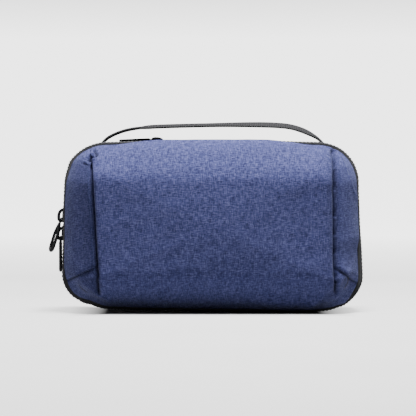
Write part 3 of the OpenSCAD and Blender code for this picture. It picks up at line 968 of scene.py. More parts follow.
def make_back():
    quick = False
    shape = (1, BACK_INSET, BACK_DEPTH, BACK_ROUND, back_start)
    bowl = Bowl(*shape, 420 if quick else 700, (1.8 if quick else 1.1) * MM,
                12 if quick else 26, rows_at=(SLOT_Y0 - EDGE_Y, PANEL_SEAM_Y - EDGE_Y),
                columns_at=(-SLOT_HALF, SLOT_HALF))
    outer, flat = bowl.points(0.0)
    x, y, z = outer.T
    relief = 0.30 * MM * wander2(x, z + y, 15, 58 * MM) + 0.1 * MM * wander2(x, z, 3, 19 * MM)
    relief -= 0.9 * MM * valley(y - PANEL_SEAM_Y, 0.8 * MM)
    near_slot = np.exp(-(np.maximum(np.abs(y - POCKET_Y) - SLOT_W / 2, 0) / (2.5 * MM)))
    near_slot *= smooth(SLOT_HALF + 8 * MM, SLOT_HALF, np.abs(x)) * (z > MID_Z)
    relief = relief * (1 - 0.9 * near_slot) * rim_fade(outer)
    nrm = bowl.normals(outer)
    outer = outer + nrm * relief[:, None]
    inner = outer - nrm * CLOTH_T
    inner[:bowl.count, 1] = outer[:bowl.count, 1]
    faces, centre = slotted(bowl, outer)
    behind = centre[:, 1] > PANEL_SEAM_Y
    for name, mask in (("back_wall_cloth", ~behind), ("back_panel_cloth", behind)):
        verts, solid, weave = thicken(outer, inner, [tidy_face(f) for f in faces[mask]],
                                      turned(flat, 0))
        cloth_piece(name, verts, solid, weave, "back_body")

    soft = Bowl(*shape, 300, 2.4 * MM, 10, rows_at=(SLOT_Y0 - EDGE_Y, SLOT_Y1 - EDGE_Y),
                columns_at=(-SLOT_HALF, SLOT_HALF))
    layers = [soft.points(t)[0] for t in (1.25 * MM, 3.6 * MM, WALL_T)]
    base, soft_flat = soft.points(0.0)
    for layer in layers:
        layer[:soft.count, 1] = EDGE_Y
    quads = [tidy_face(f) for f in slotted(soft, base)[0]]
    padding("foam", 1, layers[0], layers[1], quads, soft_flat)
    padding("lining", 1, layers[1], layers[2], quads, soft_flat)


def slotted(bowl, points):
    """A back bowl's quads that lie outside the rear pocket's slot, and their centres."""
    quads = np.array([f if len(f) == 4 else f + [f[2]] for f in bowl.faces()])
    centre = points[quads].mean(1)
    outside = ~in_slot(centre)
    return quads[outside], centre[outside]


def tidy_face(f):
    """A quad whose last two corners are one point is a triangle."""
    f = [int(v) for v in f]
    return f[:3] if f[3] == f[2] else f


def in_slot(points):
    """Whether points lie in the rear pocket's slot."""
    return ((np.abs(points[:, 0]) < SLOT_HALF) & (points[:, 1] > SLOT_Y0)
            & (points[:, 1] < SLOT_Y1) & (points[:, 2] > MID_Z))


def back_start(p):
    return np.full(len(p), BACK_START) + 1.4 * MM * smooth(30 * MM, 6 * MM, p[:, 1])


# ---------------------------------------------------------------------------
# Bindings, zip tapes and teeth
# ---------------------------------------------------------------------------
def sweep(outline, s, rings, closed):
    """A band along the outline, from rings of (d, y) at lengths s."""
    pts = np.stack([along(outline, s, rings[:, k, 0], 0.0) for k in range(rings.shape[1])], 1)
    pts[:, :, 1] = rings[:, :, 1]
    verts, faces = loft(pts, closed)
    v = lengths(rings[0])
    return verts, faces, woven(np.repeat(s, len(v)), np.tile(v, len(s)))


def stitches(build, path, pitch=3.0 * MM, length=2.1 * MM, radius=0.24 * MM, lift=0.05 * MM,
             normal=None):
    """A row of stitches along a path of points: each one a small rounded bar."""
    path = np.asarray(path, float)
    total = lengths(path)

    def at(q, values):
        return np.stack([np.interp(q, total, values[:, k]) for k in range(3)], -1)

    for s0 in np.arange(pitch * 0.3, total[-1] - length, pitch):
        q = at(s0 + length * np.array([0, 0.12, 0.5, 0.88, 1.0]), path)
        if normal is not None:
            rise = np.array([-1.2, 0.2, 1.0, 0.2, -1.2]) * radius + lift
            q = q + at(s0 + length / 2, normal) * rise[:, None]
        build.add(*tube(q, [radius * 0.6, radius, radius * 1.1, radius, radius * 0.6], 6))


def make_binding(side):
    half, body = HALVES[side]
    start = front_start if side < 0 else back_start
    s = np.linspace(0, CLOSED.length, 560, endpoint=False)
    thick = start(CLOSED.at(s)[0]) + 2.0 * MM
    wave = 0.10 * MM * wander(s, 21 + side, 40 * MM) + 0.05 * MM * wander(s, 4, 9 * MM)
    y0, y1 = HALF_ZIP - 0.2 * MM, EDGE_Y + 0.45 * MM
    r = 1.0 * MM
    ring = []
    for cy, outside, a0 in ((y0 + r, 1, 180), (y1 - r, 1, 270), (y1 - r, 0, 0), (y0 + r, 0, 90)):
        for a in np.radians(a0 + 90 * np.arange(5) / 4):
            d = r + r * math.sin(a) - wave if outside else thick - r + r * math.sin(a)
            ring.append(np.stack([d, np.full(s.shape, side * (cy + r * math.cos(a)))], -1))
    ring = np.stack(ring, 1)
    verts, faces, weave = sweep(CLOSED, s, ring[:, ::-side], True)
    ob = add_mesh("binding_" + half, verts, faces, BINDING, weave)
    keep(ob, body, "black_binding", half + "_binding")

    sew = Builder()
    fine = np.linspace(0, CLOSED.length, 900)
    normal = upright(CLOSED.at(fine)[1])
    for y in (HALF_ZIP + 1.4 * MM, EDGE_Y - 1.3 * MM):
        stitches(sew, along(CLOSED, fine, np.full(len(fine), 0.16 * MM), side * y), normal=normal)
    sew.keep("binding_stitches_" + half, THREAD, body, "black_binding")


# The coil: how far inside the outline it lies, its thickness, the half width of its two
# rows together, the tape behind it and the pitch of its turns
COIL_D = 1.4 * MM
COIL_T = 1.7 * MM
ROW_OUT = 2.4 * MM
TAPE_D = COIL_D + 0.5 * MM
TOOTH_PITCH = 1.5 * MM


def teeth(build, places, outward, along_dir, side):
    """Coil turns at each place: flat loops seen from the end as (y, d) points. side is
    the row, and the two rows mesh by half a pitch."""
    head, foot = 0.15 * MM, ROW_OUT + 0.35 * MM
    top, low = COIL_D - 0.05 * MM, COIL_D + COIL_T
    r, mid = (low - top) / 2, (top + low) / 2
    loop = []
    for k in range(5):
        a = math.radians(-90 + 180 * k / 4)
        loop.append((foot + r * math.cos(a) * 0.6, mid + r * math.sin(a)))
    for k in range(6):
        a = math.radians(90 + 180 * k / 5)
        loop.append((head + r * math.cos(a) * 0.9, mid + r * math.sin(a)))
    loop = np.array(loop)
    lean = np.linspace(-0.22, 0.22, len(loop)) * TOOTH_PITCH
    for p, n, t in zip(places, outward, along_dir):
        q = (p + np.outer(-(loop[:, 1]), n) + np.outer(side * loop[:, 0], [0, 1, 0])
             + np.outer(lean, t))
        build.add(*tube(q, 0.36 * MM, 6, closed=True))


def make_main_zip(side):
    word, body = HALVES[side]
    s = np.linspace(0, OPEN.length, 420)
    # The tape is corded by the teeth, and thin where it goes under the binding
    half = [(ROW_OUT - 0.3 * MM, 0.0), (ROW_OUT + 0.3 * MM, -0.25), (ROW_OUT + 1.2 * MM, 0.0),
            (HALF_ZIP - 1 * MM, 0.05), (HALF_ZIP + 4.2 * MM, 0.05)]
    sag = 0.15 * MM * wander(s, 31 + side, 60 * MM)
    top = [(TAPE_D + k * MM, y) for y, k in half]
    low = [(TAPE_D + 0.8 * MM - k * MM, y) for y, k in reversed(half)]
    ring = [np.stack([d + sag * smooth(ROW_OUT, HALF_ZIP, y)
                      * smooth(HALF_ZIP + 1 * MM, HALF_ZIP - 2 * MM, y),
                      np.full(s.shape, side * y)], -1) for d, y in top + low]
    verts, faces, weave = sweep(OPEN, s, np.stack(ring, 1)[:, ::-side], False)
    ob = add_mesh(f"zip_tape_{word}", verts, faces, ZIP_TAPE, weave)
    keep(ob, body, "black_zip_tape", f"{word}_zip_tape")

    count = int((OPEN.length - 4 * MM) / TOOTH_PITCH)
    base, nrm, _ = OPEN.at(2 * MM + TOOTH_PITCH * (np.arange(count) + (0.5 if side < 0 else 0.0)))
    build = Builder()
    teeth(build, upright(base), upright(nrm), upright(nrm[:, ::-1] * [-1, 1]), side)
    build.keep(f"zip_teeth_{word}", COIL, body, "black_zip_coil", f"{word}_zip_coil")

    sew = Builder()
    fine = np.linspace(1 * MM, OPEN.length - 1 * MM, 900)
    stitches(sew, along(OPEN, fine, np.full(len(fine), TAPE_D - 0.25 * MM), side * 3.0 * MM),
             pitch=1.6 * MM, length=1.2 * MM, radius=0.16 * MM, normal=upright(OPEN.at(fine)[1]))
    sew.keep(f"zip_sewing_{word}", THREAD, body, "black_zip_tape")

    # End stops: small clamped blocks just past the last teeth, on the spine's side
    build = Builder()
    for end, way in ((0.0, 1), (OPEN.length, -1)):
        p, n, _ = OPEN.at(end)
        t = np.array([n[1], 0, -n[0]]) * way
        out = np.array([n[0], 0, n[1]])
        centre = np.array([p[0], 0, p[1]]) + t * 1.5 * MM
        centre = centre - out * (COIL_D + COIL_T / 2 - 0.2 * MM) + AXES[1] * side * 1.6 * MM
        build.add(*block(centre, (t, AXES[1], out), (2.6 * MM, 1.5 * MM, 2.0 * MM), 0.35 * MM))
    build.keep(f"zip_stops_{word}", METAL, body, "black_metal", f"{word}_zip_stops")


def block(centre, axes, size, r):
    """A box with rounded edges on three axes."""
    ax, ay, az = axes
    section = rounded_rect(size[0], size[1], r)
    levels = [(-size[2] / 2, -r), (-size[2] / 2 + 0.3 * r, -0.3 * r), (-size[2] / 2 + r, 0),
              (size[2] / 2 - r, 0), (size[2] / 2 - 0.3 * r, -0.3 * r), (size[2] / 2, -r)]
    rings = []
    for h, inset in levels:
        sec = section * np.array([1 + 2 * inset / size[0], 1 + 2 * inset / size[1]])
        rings.append(centre + np.outer(sec[:, 0], ax) + np.outer(sec[:, 1], ay) + az * h)
    return loft(rings)


# ---------------------------------------------------------------------------
# Sliders and pulls
# ---------------------------------------------------------------------------
# In a slider's own frame, +X to its nose and +Z outwards: where its pull hangs, the
# pull's length and half width
PIVOT = np.array([-3.0, 0.0, 2.5]) * MM
PULL_L = 26 * MM
RAIL_Y = 3.45 * MM


def plate_rings(z0, z1, bevel):
    """A slider's plate: broad round shoulders at the nose, narrower at the tail."""
    turns = np.radians(np.linspace(0, 90, 7))
    half = [(3.0 + 3.0 * math.cos(q), 1.8 + 3.0 * math.sin(q)) for q in turns]
    half += [(-4.0 - 2.0 * math.sin(q), 2.0 + 2.0 * math.cos(q)) for q in turns]
    # Waist where the two rows part
    half = [(x, y - 0.5 * math.exp(-((x + 0.8) / 2.4) ** 2)) for x, y in half]
    plan = np.array(half + [(x, -y) for x, y in reversed(half)]) * MM
    centre = plan.mean(0)
    rel = plan - centre
    r = np.linalg.norm(rel, axis=1)[:, None]
    rings = []
    for z, inset in ((z0, bevel), (z0 + bevel * 0.3, bevel * 0.3), (z0 + bevel, 0),
                     (z1 - bevel, 0), (z1 - bevel * 0.3, bevel * 0.3), (z1, bevel)):
        rings.append(np.column_stack([centre + rel * (r - inset) / r, np.full(len(plan), z)]))
    return rings


def slider_mesh(build, place, rise=1.0, top=1.6 * MM):
    """A coil slider: two plates, side lips, nose post and an arched bridge."""
    def put(mesh):
        build.add(place(mesh[0]), mesh[1])

    for z0, z1 in ((-0.95 * MM, top), (-4.55 * MM, -3.5 * MM)):
        put(loft(plate_rings(z0, z1, 0.35 * MM)))
    for side in (-1, 1):
        for z in (-1.05 * MM, -3.25 * MM):
            put(block(np.array([-0.5 * MM, side * 4.15 * MM, z]), AXES,
                      (8.0 * MM, 0.9 * MM, 0.6 * MM), 0.2 * MM))
    put(block(np.array([3.1, 0, -2.3]) * MM, AXES, (2.2 * MM, 0.9 * MM, 2.4 * MM), 0.3 * MM))
    # Bridge: a rounded strap that rises from the nose and curls down at the tail
    path = np.array([(4.4, -0.2), (4.2, 1.0), (3.4, 2.7), (2.0, 3.9), (0.0, 4.55), (-2.2, 4.65),
                     (-3.8, 4.45), (-4.8, 3.6), (-5.1, 1.9), (-5.0, 0.6), (-4.8, -0.2)]) * MM
    path[:, 1] *= rise
    path = smooth_path(path, 30)
    width = 1.75 * MM + 0.15 * MM * np.sin(np.linspace(0, math.pi, len(path)))
    thick = 1.25 * MM
    rings = []
    for (x, z), (tx, tz), w in zip(path, tangents(path), width):
        sec = rounded_rect(2 * w, 2 * thick, 0.35 * MM, 3)
        rings.append(np.stack([x - tz * sec[:, 1], sec[:, 0], z + tx * sec[:, 1]], -1))
    put(loft(rings))
    # A low rib down the outer plate either side of the bridge
    for side in (-1, 1):
        rib = np.array([(-3.6, side * 2.9, -0.2), (-1.0, side * 2.6, -0.05),
                        (2.2, side * 3.1, -0.2)])
        put(tube(smooth_path(rib * MM + np.array([0, 0, top]), 12), 0.28 * MM, 6))


def smooth_path(points, count, closed=False):
    """A Catmull-Rom curve through points, evenly spaced."""
    p = np.asarray(points, float)
    if closed:
        p = np.concatenate([p[-1:], p, p[:2]])
    else:
        p = np.concatenate([2 * p[:1] - p[1:2], p, 2 * p[-1:] - p[-2:-1]])
    out = []
    for k in range(1, len(p) - 2):
        t = np.linspace(0, 1, 12, endpoint=False)[:, None]
        a, b, c, d = p[k - 1], p[k], p[k + 1], p[k + 2]
        out.append(0.5 * (2 * b + (c - a) * t + (2 * a - 5 * b + 4 * c - d) * t ** 2
                          + (3 * b - a - 3 * c + d) * t ** 3))
    out.append(p[-2][None])
    q = np.concatenate(out)
    seg = lengths(q)
    s = np.linspace(0, seg[-1], count, endpoint=not closed)
    return np.stack([np.interp(s, seg, q[:, k]) for k in range(q.shape[1])], -1)


def pull_mesh(build, place):
    """A wire loop that hangs from its pivot along -Z, a little narrower at its end."""
    end = RAIL_Y - 0.5 * MM
    low = -(PULL_L - 0.75 * MM)
    pts = [(0, -RAIL_Y + 0.8 * MM, 0), (0, 0, 0), (0, RAIL_Y - 0.8 * MM, 0)]
    pts += [(0, RAIL_Y - 0.15 * MM, -0.25 * MM), (0, RAIL_Y, -0.9 * MM),
            (0, RAIL_Y, -5 * MM), (0, RAIL_Y - 0.2 * MM, -12 * MM), (0, end, low + end + 1 * MM)]
    for a in np.linspace(20, 160, 6):
        q = math.radians(a)
        pts.append((0, end * math.cos(q), low + end - end * math.sin(q)))
    pts += [(0, -end, low + end + 1 * MM), (0, -RAIL_Y + 0.2 * MM, -12 * MM),
            (0, -RAIL_Y, -5 * MM), (0, -RAIL_Y, -0.9 * MM), (0, -RAIL_Y + 0.15 * MM, -0.25 * MM)]
    path = smooth_path(np.array(pts), 96, closed=True)
    # Slimmer where it passes through the bridge
    radius = 0.6 * MM + 0.67 * MM * smooth(-1.2 * MM, -5 * MM, path[:, 2])
    verts, faces = tube(path, radius, 10, closed=True)
    build.add(place(verts), faces)


def left_place(z):
    """Puts slider-frame points on the straight left side, z above the floor."""
    c, s = math.cos(LEAN), math.sin(LEAN)
    origin = np.array([(z * s - SIDE_REACH) / c, 0, z])
    basis = np.array([(s, 0, c), (0, 1, 0), (-c, 0, s)])
    return lambda v: origin + np.asarray(v) @ basis


def turned_about_y(v, angle):
    c, s = math.cos(angle), math.sin(angle)
    return np.stack([v[:, 0] * c + v[:, 2] * s, v[:, 1], -v[:, 0] * s + v[:, 2] * c], -1)


def make_sliders():
    for name, z, swing, twist in (("upper", UPPER_Z, UPPER_LEAN + math.radians(2), 27),
                                  ("lower", UPPER_Z - SLIDER_PITCH, 0.0, 0)):
        place = left_place(z)
        build = Builder()
        slider_mesh(build, place)
        build.keep(name + "_slider_body", METAL, name + "_slider_body", "black_metal",
                   name + "_slider")
        pivot = place(PIVOT[None])[0]
        build = Builder()

        def hang(v):
            # A slight twist, so that the loop isn't seen exactly edge-on
            a = math.radians(twist) * smooth(-1 * MM, -14 * MM, v[:, 2])
            c, s = np.cos(a), np.sin(a)
            v = np.stack([v[:, 0] * c - v[:, 1] * s, v[:, 0] * s + v[:, 1] * c, v[:, 2]], -1)
            return pivot + turned_about_y(v * [1, 1, 1.1], swing)

        pull_mesh(build, hang)
        build.keep(name + "_wire_pull", METAL, name + "_pull_body", "black_metal",
                   name + "_pull")
    origin = np.array([POCKET_SLIDER_X, POCKET_Y, POCKET_Z])
    build = Builder()
    slider_mesh(build, lambda v: origin + v, rise=0.97, top=0.3 * MM)
    build.keep("pocket_slider_metal", METAL, "pocket_slider_body", "black_metal",
               "pocket_slider", hang=False)
    high = np.array([PIVOT[0], 0, 2.65 * MM])

    def lie_flat(v):
        # The loop is cranked up, clear of the zip under it
        v = v * [1, 1, 1.12]
        v[:, 0] -= 1.25 * MM * smooth(-1.2 * MM, -5 * MM, v[:, 2])
        return origin + high + turned_about_y(v, math.radians(87.3))

    build = Builder()
    pull_mesh(build, lie_flat)
    build.keep("pocket_wire_pull", METAL, "pocket_pull_body", "black_metal", "pocket_pull",
               hang=False)


# ---------------------------------------------------------------------------
# Rear pocket zip
# ---------------------------------------------------------------------------
def make_pocket_zip():
    half = SLOT_HALF
    x = np.linspace(-half, half, 160)
    y0, y1 = ROW_OUT - 0.3 * MM, SLOT_W / 2 + 0.4 * MM
    z = POCKET_Z - TAPE_D
    build = Builder()
    for side in (-1, 1):
        sag = 0.12 * MM * wander(x, 51 + side, 50 * MM)
        rings = []
        for y, height in ((y0, z), (y0 + 0.5 * MM, z + 0.2 * MM), (y0 + 1.4 * MM, z + sag),
                          (y1, z), (y1, z - 0.8 * MM), (y0, z - 0.8 * MM)):
            rings.append(np.stack([x, np.full(len(x), POCKET_Y + side * y),
                                   np.broadcast_to(height, x.shape)], -1))
        verts, faces = loft(np.stack(rings, 1)[:, ::side])
        build.add(verts, faces, woven(np.repeat(x, 6), np.tile(np.arange(6) * 1.2 * MM, len(x))))
    build.keep("pocket_zip_tape_pair", ZIP_TAPE, "back_body", "black_zip_tape",
               "pocket_zip_tapes", hang=False)

    build = Builder()
    for side, shift in ((-1, TOOTH_PITCH / 2), (1, 0)):
        at = np.arange(-half + 3.6 * MM + shift, half - 3.4 * MM, TOOTH_PITCH)
        n = len(at)
        places = np.stack([at, np.full(n, POCKET_Y), np.full(n, POCKET_Z)], -1)
        teeth(build, places, np.tile(AXES[2], (n, 1)), np.tile(AXES[0], (n, 1)), side)
    build.keep("pocket_zip_teeth", COIL, "back_body", "black_zip_coil", "pocket_zip_coils",
               hang=False)

    build = Builder()
    for side in (-1, 1):
        centre = (side * (half - 1.5 * MM), POCKET_Y, POCKET_Z - COIL_D - 0.7 * MM)
        build.add(*block(np.array(centre), AXES, (2.4 * MM, 4.6 * MM, 2.0 * MM), 0.4 * MM))
    build.keep("pocket_zip_end_stops", METAL, "back_body", "black_metal", "pocket_zip_stops",
               hang=False)

    # The slot's edge is turned under: a rolled welt round it, sewn close to the edge
    build = Builder()
    sew = Builder()
    front_z = surface_z(SLOT_Y0)
    rear_z = surface_z(SLOT_Y1)
    for y, z, dy in ((SLOT_Y0, front_z, -1), (SLOT_Y1, rear_z, 1)):
        path = np.stack([np.linspace(-half - 1 * MM, half + 1 * MM, 90), np.full(90, y),
                         np.full(90, z)], -1)
        path[:, 2] += 0.1 * MM * wander(path[:, 0], 61, 30 * MM)
        verts, faces = tube(path, 0.85 * MM, 10)
        build.add(verts, faces, woven(verts[:, 0], verts[:, 1] + verts[:, 2]))
        line = path + np.array([0, dy * 2.0 * MM, 0])
        line[:, 2] = surface_z(y + dy * 2.0 * MM) + 0.05 * MM
        stitches(sew, line, normal=np.tile(AXES[2], (90, 1)))
    for sx in (-1, 1):
        t = np.linspace(0, 1, 24)
        path = np.stack([np.full(24, sx * half), SLOT_Y0 + (SLOT_Y1 - SLOT_Y0) * t,
                         front_z + (rear_z - front_z) * t ** 2], -1)
        verts, faces = tube(path, 0.85 * MM, 10)
        build.add(verts, faces, woven(verts[:, 1], verts[:, 0] + verts[:, 2]))
    build.keep("pocket_slot_welt", BLUE, "back_body", "blue_heather_cloth")
    sew.keep("pocket_slot_stitches", BLUE_THREAD, "back_body", "blue_heather_cloth")


def surface_z(y):
    """Height of the back body's top face at depth y behind the zip."""
    rel = (y - EDGE_Y) / BACK_DEPTH
    sin_a = min(1.0, max(0.0, rel)) ** (1 / BACK_ROUND)
    cos_a = math.sqrt(max(0.0, 1 - sin_a ** 2))
    return BODY_H - BACK_START - BACK_INSET * (1 - cos_a ** BACK_ROUND)


# ---------------------------------------------------------------------------
# Handle
# ---------------------------------------------------------------------------
def arch_z(x):
    return FOOT_Z + HANDLE_RISE * (1 - (np.abs(x) / HANDLE_HALF) ** 5.8)


def make_handle():
    """One length of webbing: sewn down along the outline at both ends, free between."""
    reach = math.radians(36)
    foot_angle = math.acos((HANDLE_HALF - TOP_C[0]) / TAB_R)
    hug = [np.array([TOP_C[0] + TAB_R * math.cos(a), TOP_C[1] + TAB_R * math.sin(a)])
           for a in np.linspace(reach, foot_angle - 0.02, 10)]
    arch = [np.array([x, arch_z(x)]) for x in np.linspace(HANDLE_HALF, 0, 40)]
    right = smooth_path(np.array(hug + arch), 130)
    path = np.concatenate([right, (right * [-1, 1])[::-1][1:]])
    path = path[::-1]
    seg = lengths(path)
    x = path[:, 0]
    # The webbing rolls forward towards its right half
    roll = (math.radians(9) * smooth(-64 * MM, -50 * MM, x)
            + math.radians(8.5) * smooth(-5 * MM, 46 * MM, x))
    roll *= smooth(93 * MM, 74 * MM, x)
    roll -= math.radians(3) * smooth(-54 * MM, -66 * MM, x) * smooth(-93 * MM, -86 * MM, x)
    lift = 1.6 * MM * smooth(-70 * MM, 30 * MM, x) * smooth(88 * MM, 60 * MM, x)
    half_w, half_t = WEB_W / 2, WEB_T / 2 + 0.15 * MM
    steps = 15
    across = np.linspace(-1, 1, steps)
    rib = 0.16 * MM * np.cos(across * math.pi * 6) + 0.12 * MM * (1 - across ** 2)
    rib[[0, -1]] = -0.35 * MM
    rings = []
    for k, t in enumerate(tangents(path)):
        n = np.array([-t[1], t[0]])
        if n[1] < 0:
            n = -n
        c, s = math.cos(roll[k]), math.sin(roll[k])
        side_v = np.array([s * n[0], c, s * n[1]])
        up_v = np.array([c * n[0], -s, c * n[1]])
        centre = np.array([path[k, 0], HANDLE_Y, path[k, 1] + lift[k]])
        centre[2] -= droop(*path[k]) * smooth(86 * MM, 95 * MM, abs(path[k, 0]))
        edge = 1 + 0.010 * wander(seg[k:k + 1], 71, 9 * MM)[0]
        ring = list(zip(across, rib, [1] * steps)) + list(zip(across, rib, [-1] * steps))[::-1]
        rings.append([centre + side_v * half_w * a * edge + up_v * (way * (half_t + r))
                      for a, r, way in ring])
    verts, faces = loft(rings)
    v = np.concatenate([across, across[::-1]]) * half_w
    weave = woven(np.repeat(seg, 2 * steps), np.tile(v, len(path)))
    ob = add_mesh("handle_strap", verts, faces, WEBBING, weave, hang=False)
    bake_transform(ob)
    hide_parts("handle_webbing", "handle_end_tabs")

    # Sewn box with a cross on each end, and a bar tack where the strap lifts off
    sew = Builder()
    r = TAB_R + half_t + 0.28 * MM
    a0, a1 = reach + 0.05, foot_angle - 0.12
    w = half_w - 1.6 * MM
    for sx in (-1, 1):
        def on_tab(a, y):
            return np.array([sx * (TOP_C[0] + r * math.cos(a)), HANDLE_Y + y,
                             TOP_C[1] + r * math.sin(a)])

        for run in ([(a0, -w), (a1, -w), (a1, w), (a0, w), (a0, -w), (a1, w)],
                    [(a1, -w), (a0, w)]):
            for (qa, qy), (ra, ry) in zip(run[:-1], run[1:]):
                line = np.array([on_tab(qa + (ra - qa) * f, qy + (ry - qy) * f)
                                 for f in np.linspace(0, 1, 14)])
                stitches(sew, line, pitch=2.0 * MM, length=1.5 * MM, radius=0.22 * MM)
        for off in np.linspace(0, 0.055, 4):
            line = np.array([on_tab(a1 + off, y)
                             for y in np.linspace(-w - 0.6 * MM, w + 0.6 * MM, 10)])
            stitches(sew, line, pitch=1.5 * MM, length=1.4 * MM, radius=0.24 * MM)
    sew.keep("handle_stitches", THREAD, "back_body", "grey_webbing")


# ---------------------------------------------------------------------------
# Spine
# ---------------------------------------------------------------------------
def make_spine():
    z0, z1 = [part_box("spine_strip")[k][2] for k in (0, 1)]
    rows, cols = 70, 27
    z = np.linspace(z0, z1, rows)
    y = np.linspace(-HALF_ZIP - 0.4 * MM, HALF_ZIP + 0.4 * MM, cols)
    zz, yy = np.meshgrid(z, y, indexing="ij")
    x = (SIDE_REACH - zz * math.sin(LEAN)) / math.cos(LEAN) - 1.9 * MM
    x += 0.7 * MM * np.cos(yy / HALF_ZIP * math.pi / 2)
    x += 0.12 * MM * wander2(zz, yy * 2, 33, 26 * MM)
    outer = np.stack([x, yy, zz], -1).reshape(-1, 3)
    inner = outer - np.array([0.9 * MM, 0, 0])
    verts, faces, weave = thicken(outer, inner, grid_faces(rows, cols)[:, ::-1],
                                  woven(outer[:, 1], outer[:, 2]))
    ob = add_mesh("spine_cloth", verts, faces, BLUE, weave)
    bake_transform(ob)
    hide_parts("spine_strip")


# ---------------------------------------------------------------------------
# Inside
# ---------------------------------------------------------------------------
def make_divider():
    lo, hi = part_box("divider_panel")
    y0, y1 = lo[1] - ZIP_Y, hi[1] - ZIP_Y
    s = np.linspace(0, CLOSED.length, 420, endpoint=False)
    inset = BODY_W / 2 - hi[0]
    edge = []
    for d, y in ((inset + 0.6 * MM, y0), (inset + 0.2 * MM, y0 + 0.2 * MM),
                 (inset, (y0 + y1) / 2), (inset + 0.2 * MM, y1 - 0.2 * MM),
                 (inset + 0.6 * MM, y1)):
        edge.append(along(CLOSED, s, np.full(len(s), d), y))
    grown = []
    for k in np.linspace(1, 0, 15)[1:-1]:
        q = edge[0].copy()
        q[:, 0] *= k
        q[:, 2] = MID_Z + (q[:, 2] - MID_Z) * k
        q[:, 1] = y0 - 0.2 * MM * (1 - k)
        grown.append(q)
    rear = [np.stack([g[:, 0], np.full(len(g), y1), g[:, 2]], -1) for g in grown]
    verts, faces = loft(np.array(grown[::-1] + edge + rear))
    ob = add_mesh("divider_board", verts, faces, LINING, woven(verts[:, 0], verts[:, 2]))
    keep(ob, "back_body", "grey_lining", "divider_panel")
    sew = Builder()
    fine = np.linspace(0, CLOSED.length, 500)
    line = along(CLOSED, fine, np.full(len(fine), inset + 3.5 * MM), y0 - 0.03 * MM)
    stitches(sew, line, normal=np.tile(-AXES[1], (500, 1)))
    sew.keep("divider_stitches", THREAD, "back_body", "grey_lining")


def make_loops(node, count):
    """A row of elastic loops: one band, sewn down between its arches."""
    lo, hi = [np.array(c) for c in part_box(node)]
    lo[1] -= ZIP_Y
    hi[1] -= ZIP_Y
    width = (hi[0] - lo[0]) / count
    base_y = hi[1]
    depth = base_y - lo[1] - 1 * MM
    steps = 22
    flat = 0.05
    path = []
    for k in range(count):
        for i in range(0 if k == 0 else 1, steps + 1):
            f = i / steps
            g = min(1, max(0, (f - flat) / (1 - 2 * flat)))
            path.append((lo[0] + (k + f) * width,
                         base_y - 0.6 * MM - depth * math.sin(math.pi * g) ** 0.6))
    path = np.array(path)
    tangent = tangents(path)
    normal = np.stack([tangent[:, 1], -tangent[:, 0]], -1)
    seg = lengths(path)
    rows = np.linspace(lo[2], hi[2], 21)
    pull_in = 1 - 0.03 * np.cos((rows - rows.mean()) / (rows[-1] - rows[0]) * math.pi)
    ribs = 0.10 * MM * np.cos(np.arange(21) * math.pi)
    outer, inner, weave = [], [], []
    for r, z in enumerate(rows):
        y = base_y - (base_y - path[:, 1]) * pull_in[r]
        edge = -0.25 * MM if r in (0, 20) else 0.0
        for layer, out in ((outer, 0.5 * MM + ribs[r] + edge), (inner, -(0.4 * MM + edge))):
            layer.append(np.stack([path[:, 0] + normal[:, 0] * out, y + normal[:, 1] * out,
                                   np.full(len(path), z)], -1))
        weave.append(woven(seg, np.full(len(seg), z)))
    outer, inner, weave = [np.concatenate(a) for a in (outer, inner, weave)]
    verts, faces, w = thicken(outer, inner, grid_faces(21, len(path)), weave)
    name = "elastic_" + node.split("_")[0]
    ob = add_mesh(name, verts, faces, ELASTIC, w)
    keep(ob, "back_body", "black_elastic", node)
    sew = Builder()
    for k in range(count + 1):
        x = lo[0] + k * width + (0.9 * MM if k == 0 else -0.9 * MM if k == count else 0)
        for off in (-0.35 * MM, 0.35 * MM):
            line = np.stack([np.full(30, x + off), np.full(30, base_y - 1.25 * MM),
                             np.linspace(lo[2] + 0.6 * MM, hi[2] - 0.6 * MM, 30)], -1)
            stitches(sew, line, pitch=1.7 * MM, length=1.4 * MM, radius=0.22 * MM)
    sew.keep(name + "_stitches", THREAD, "back_body", "black_elastic")


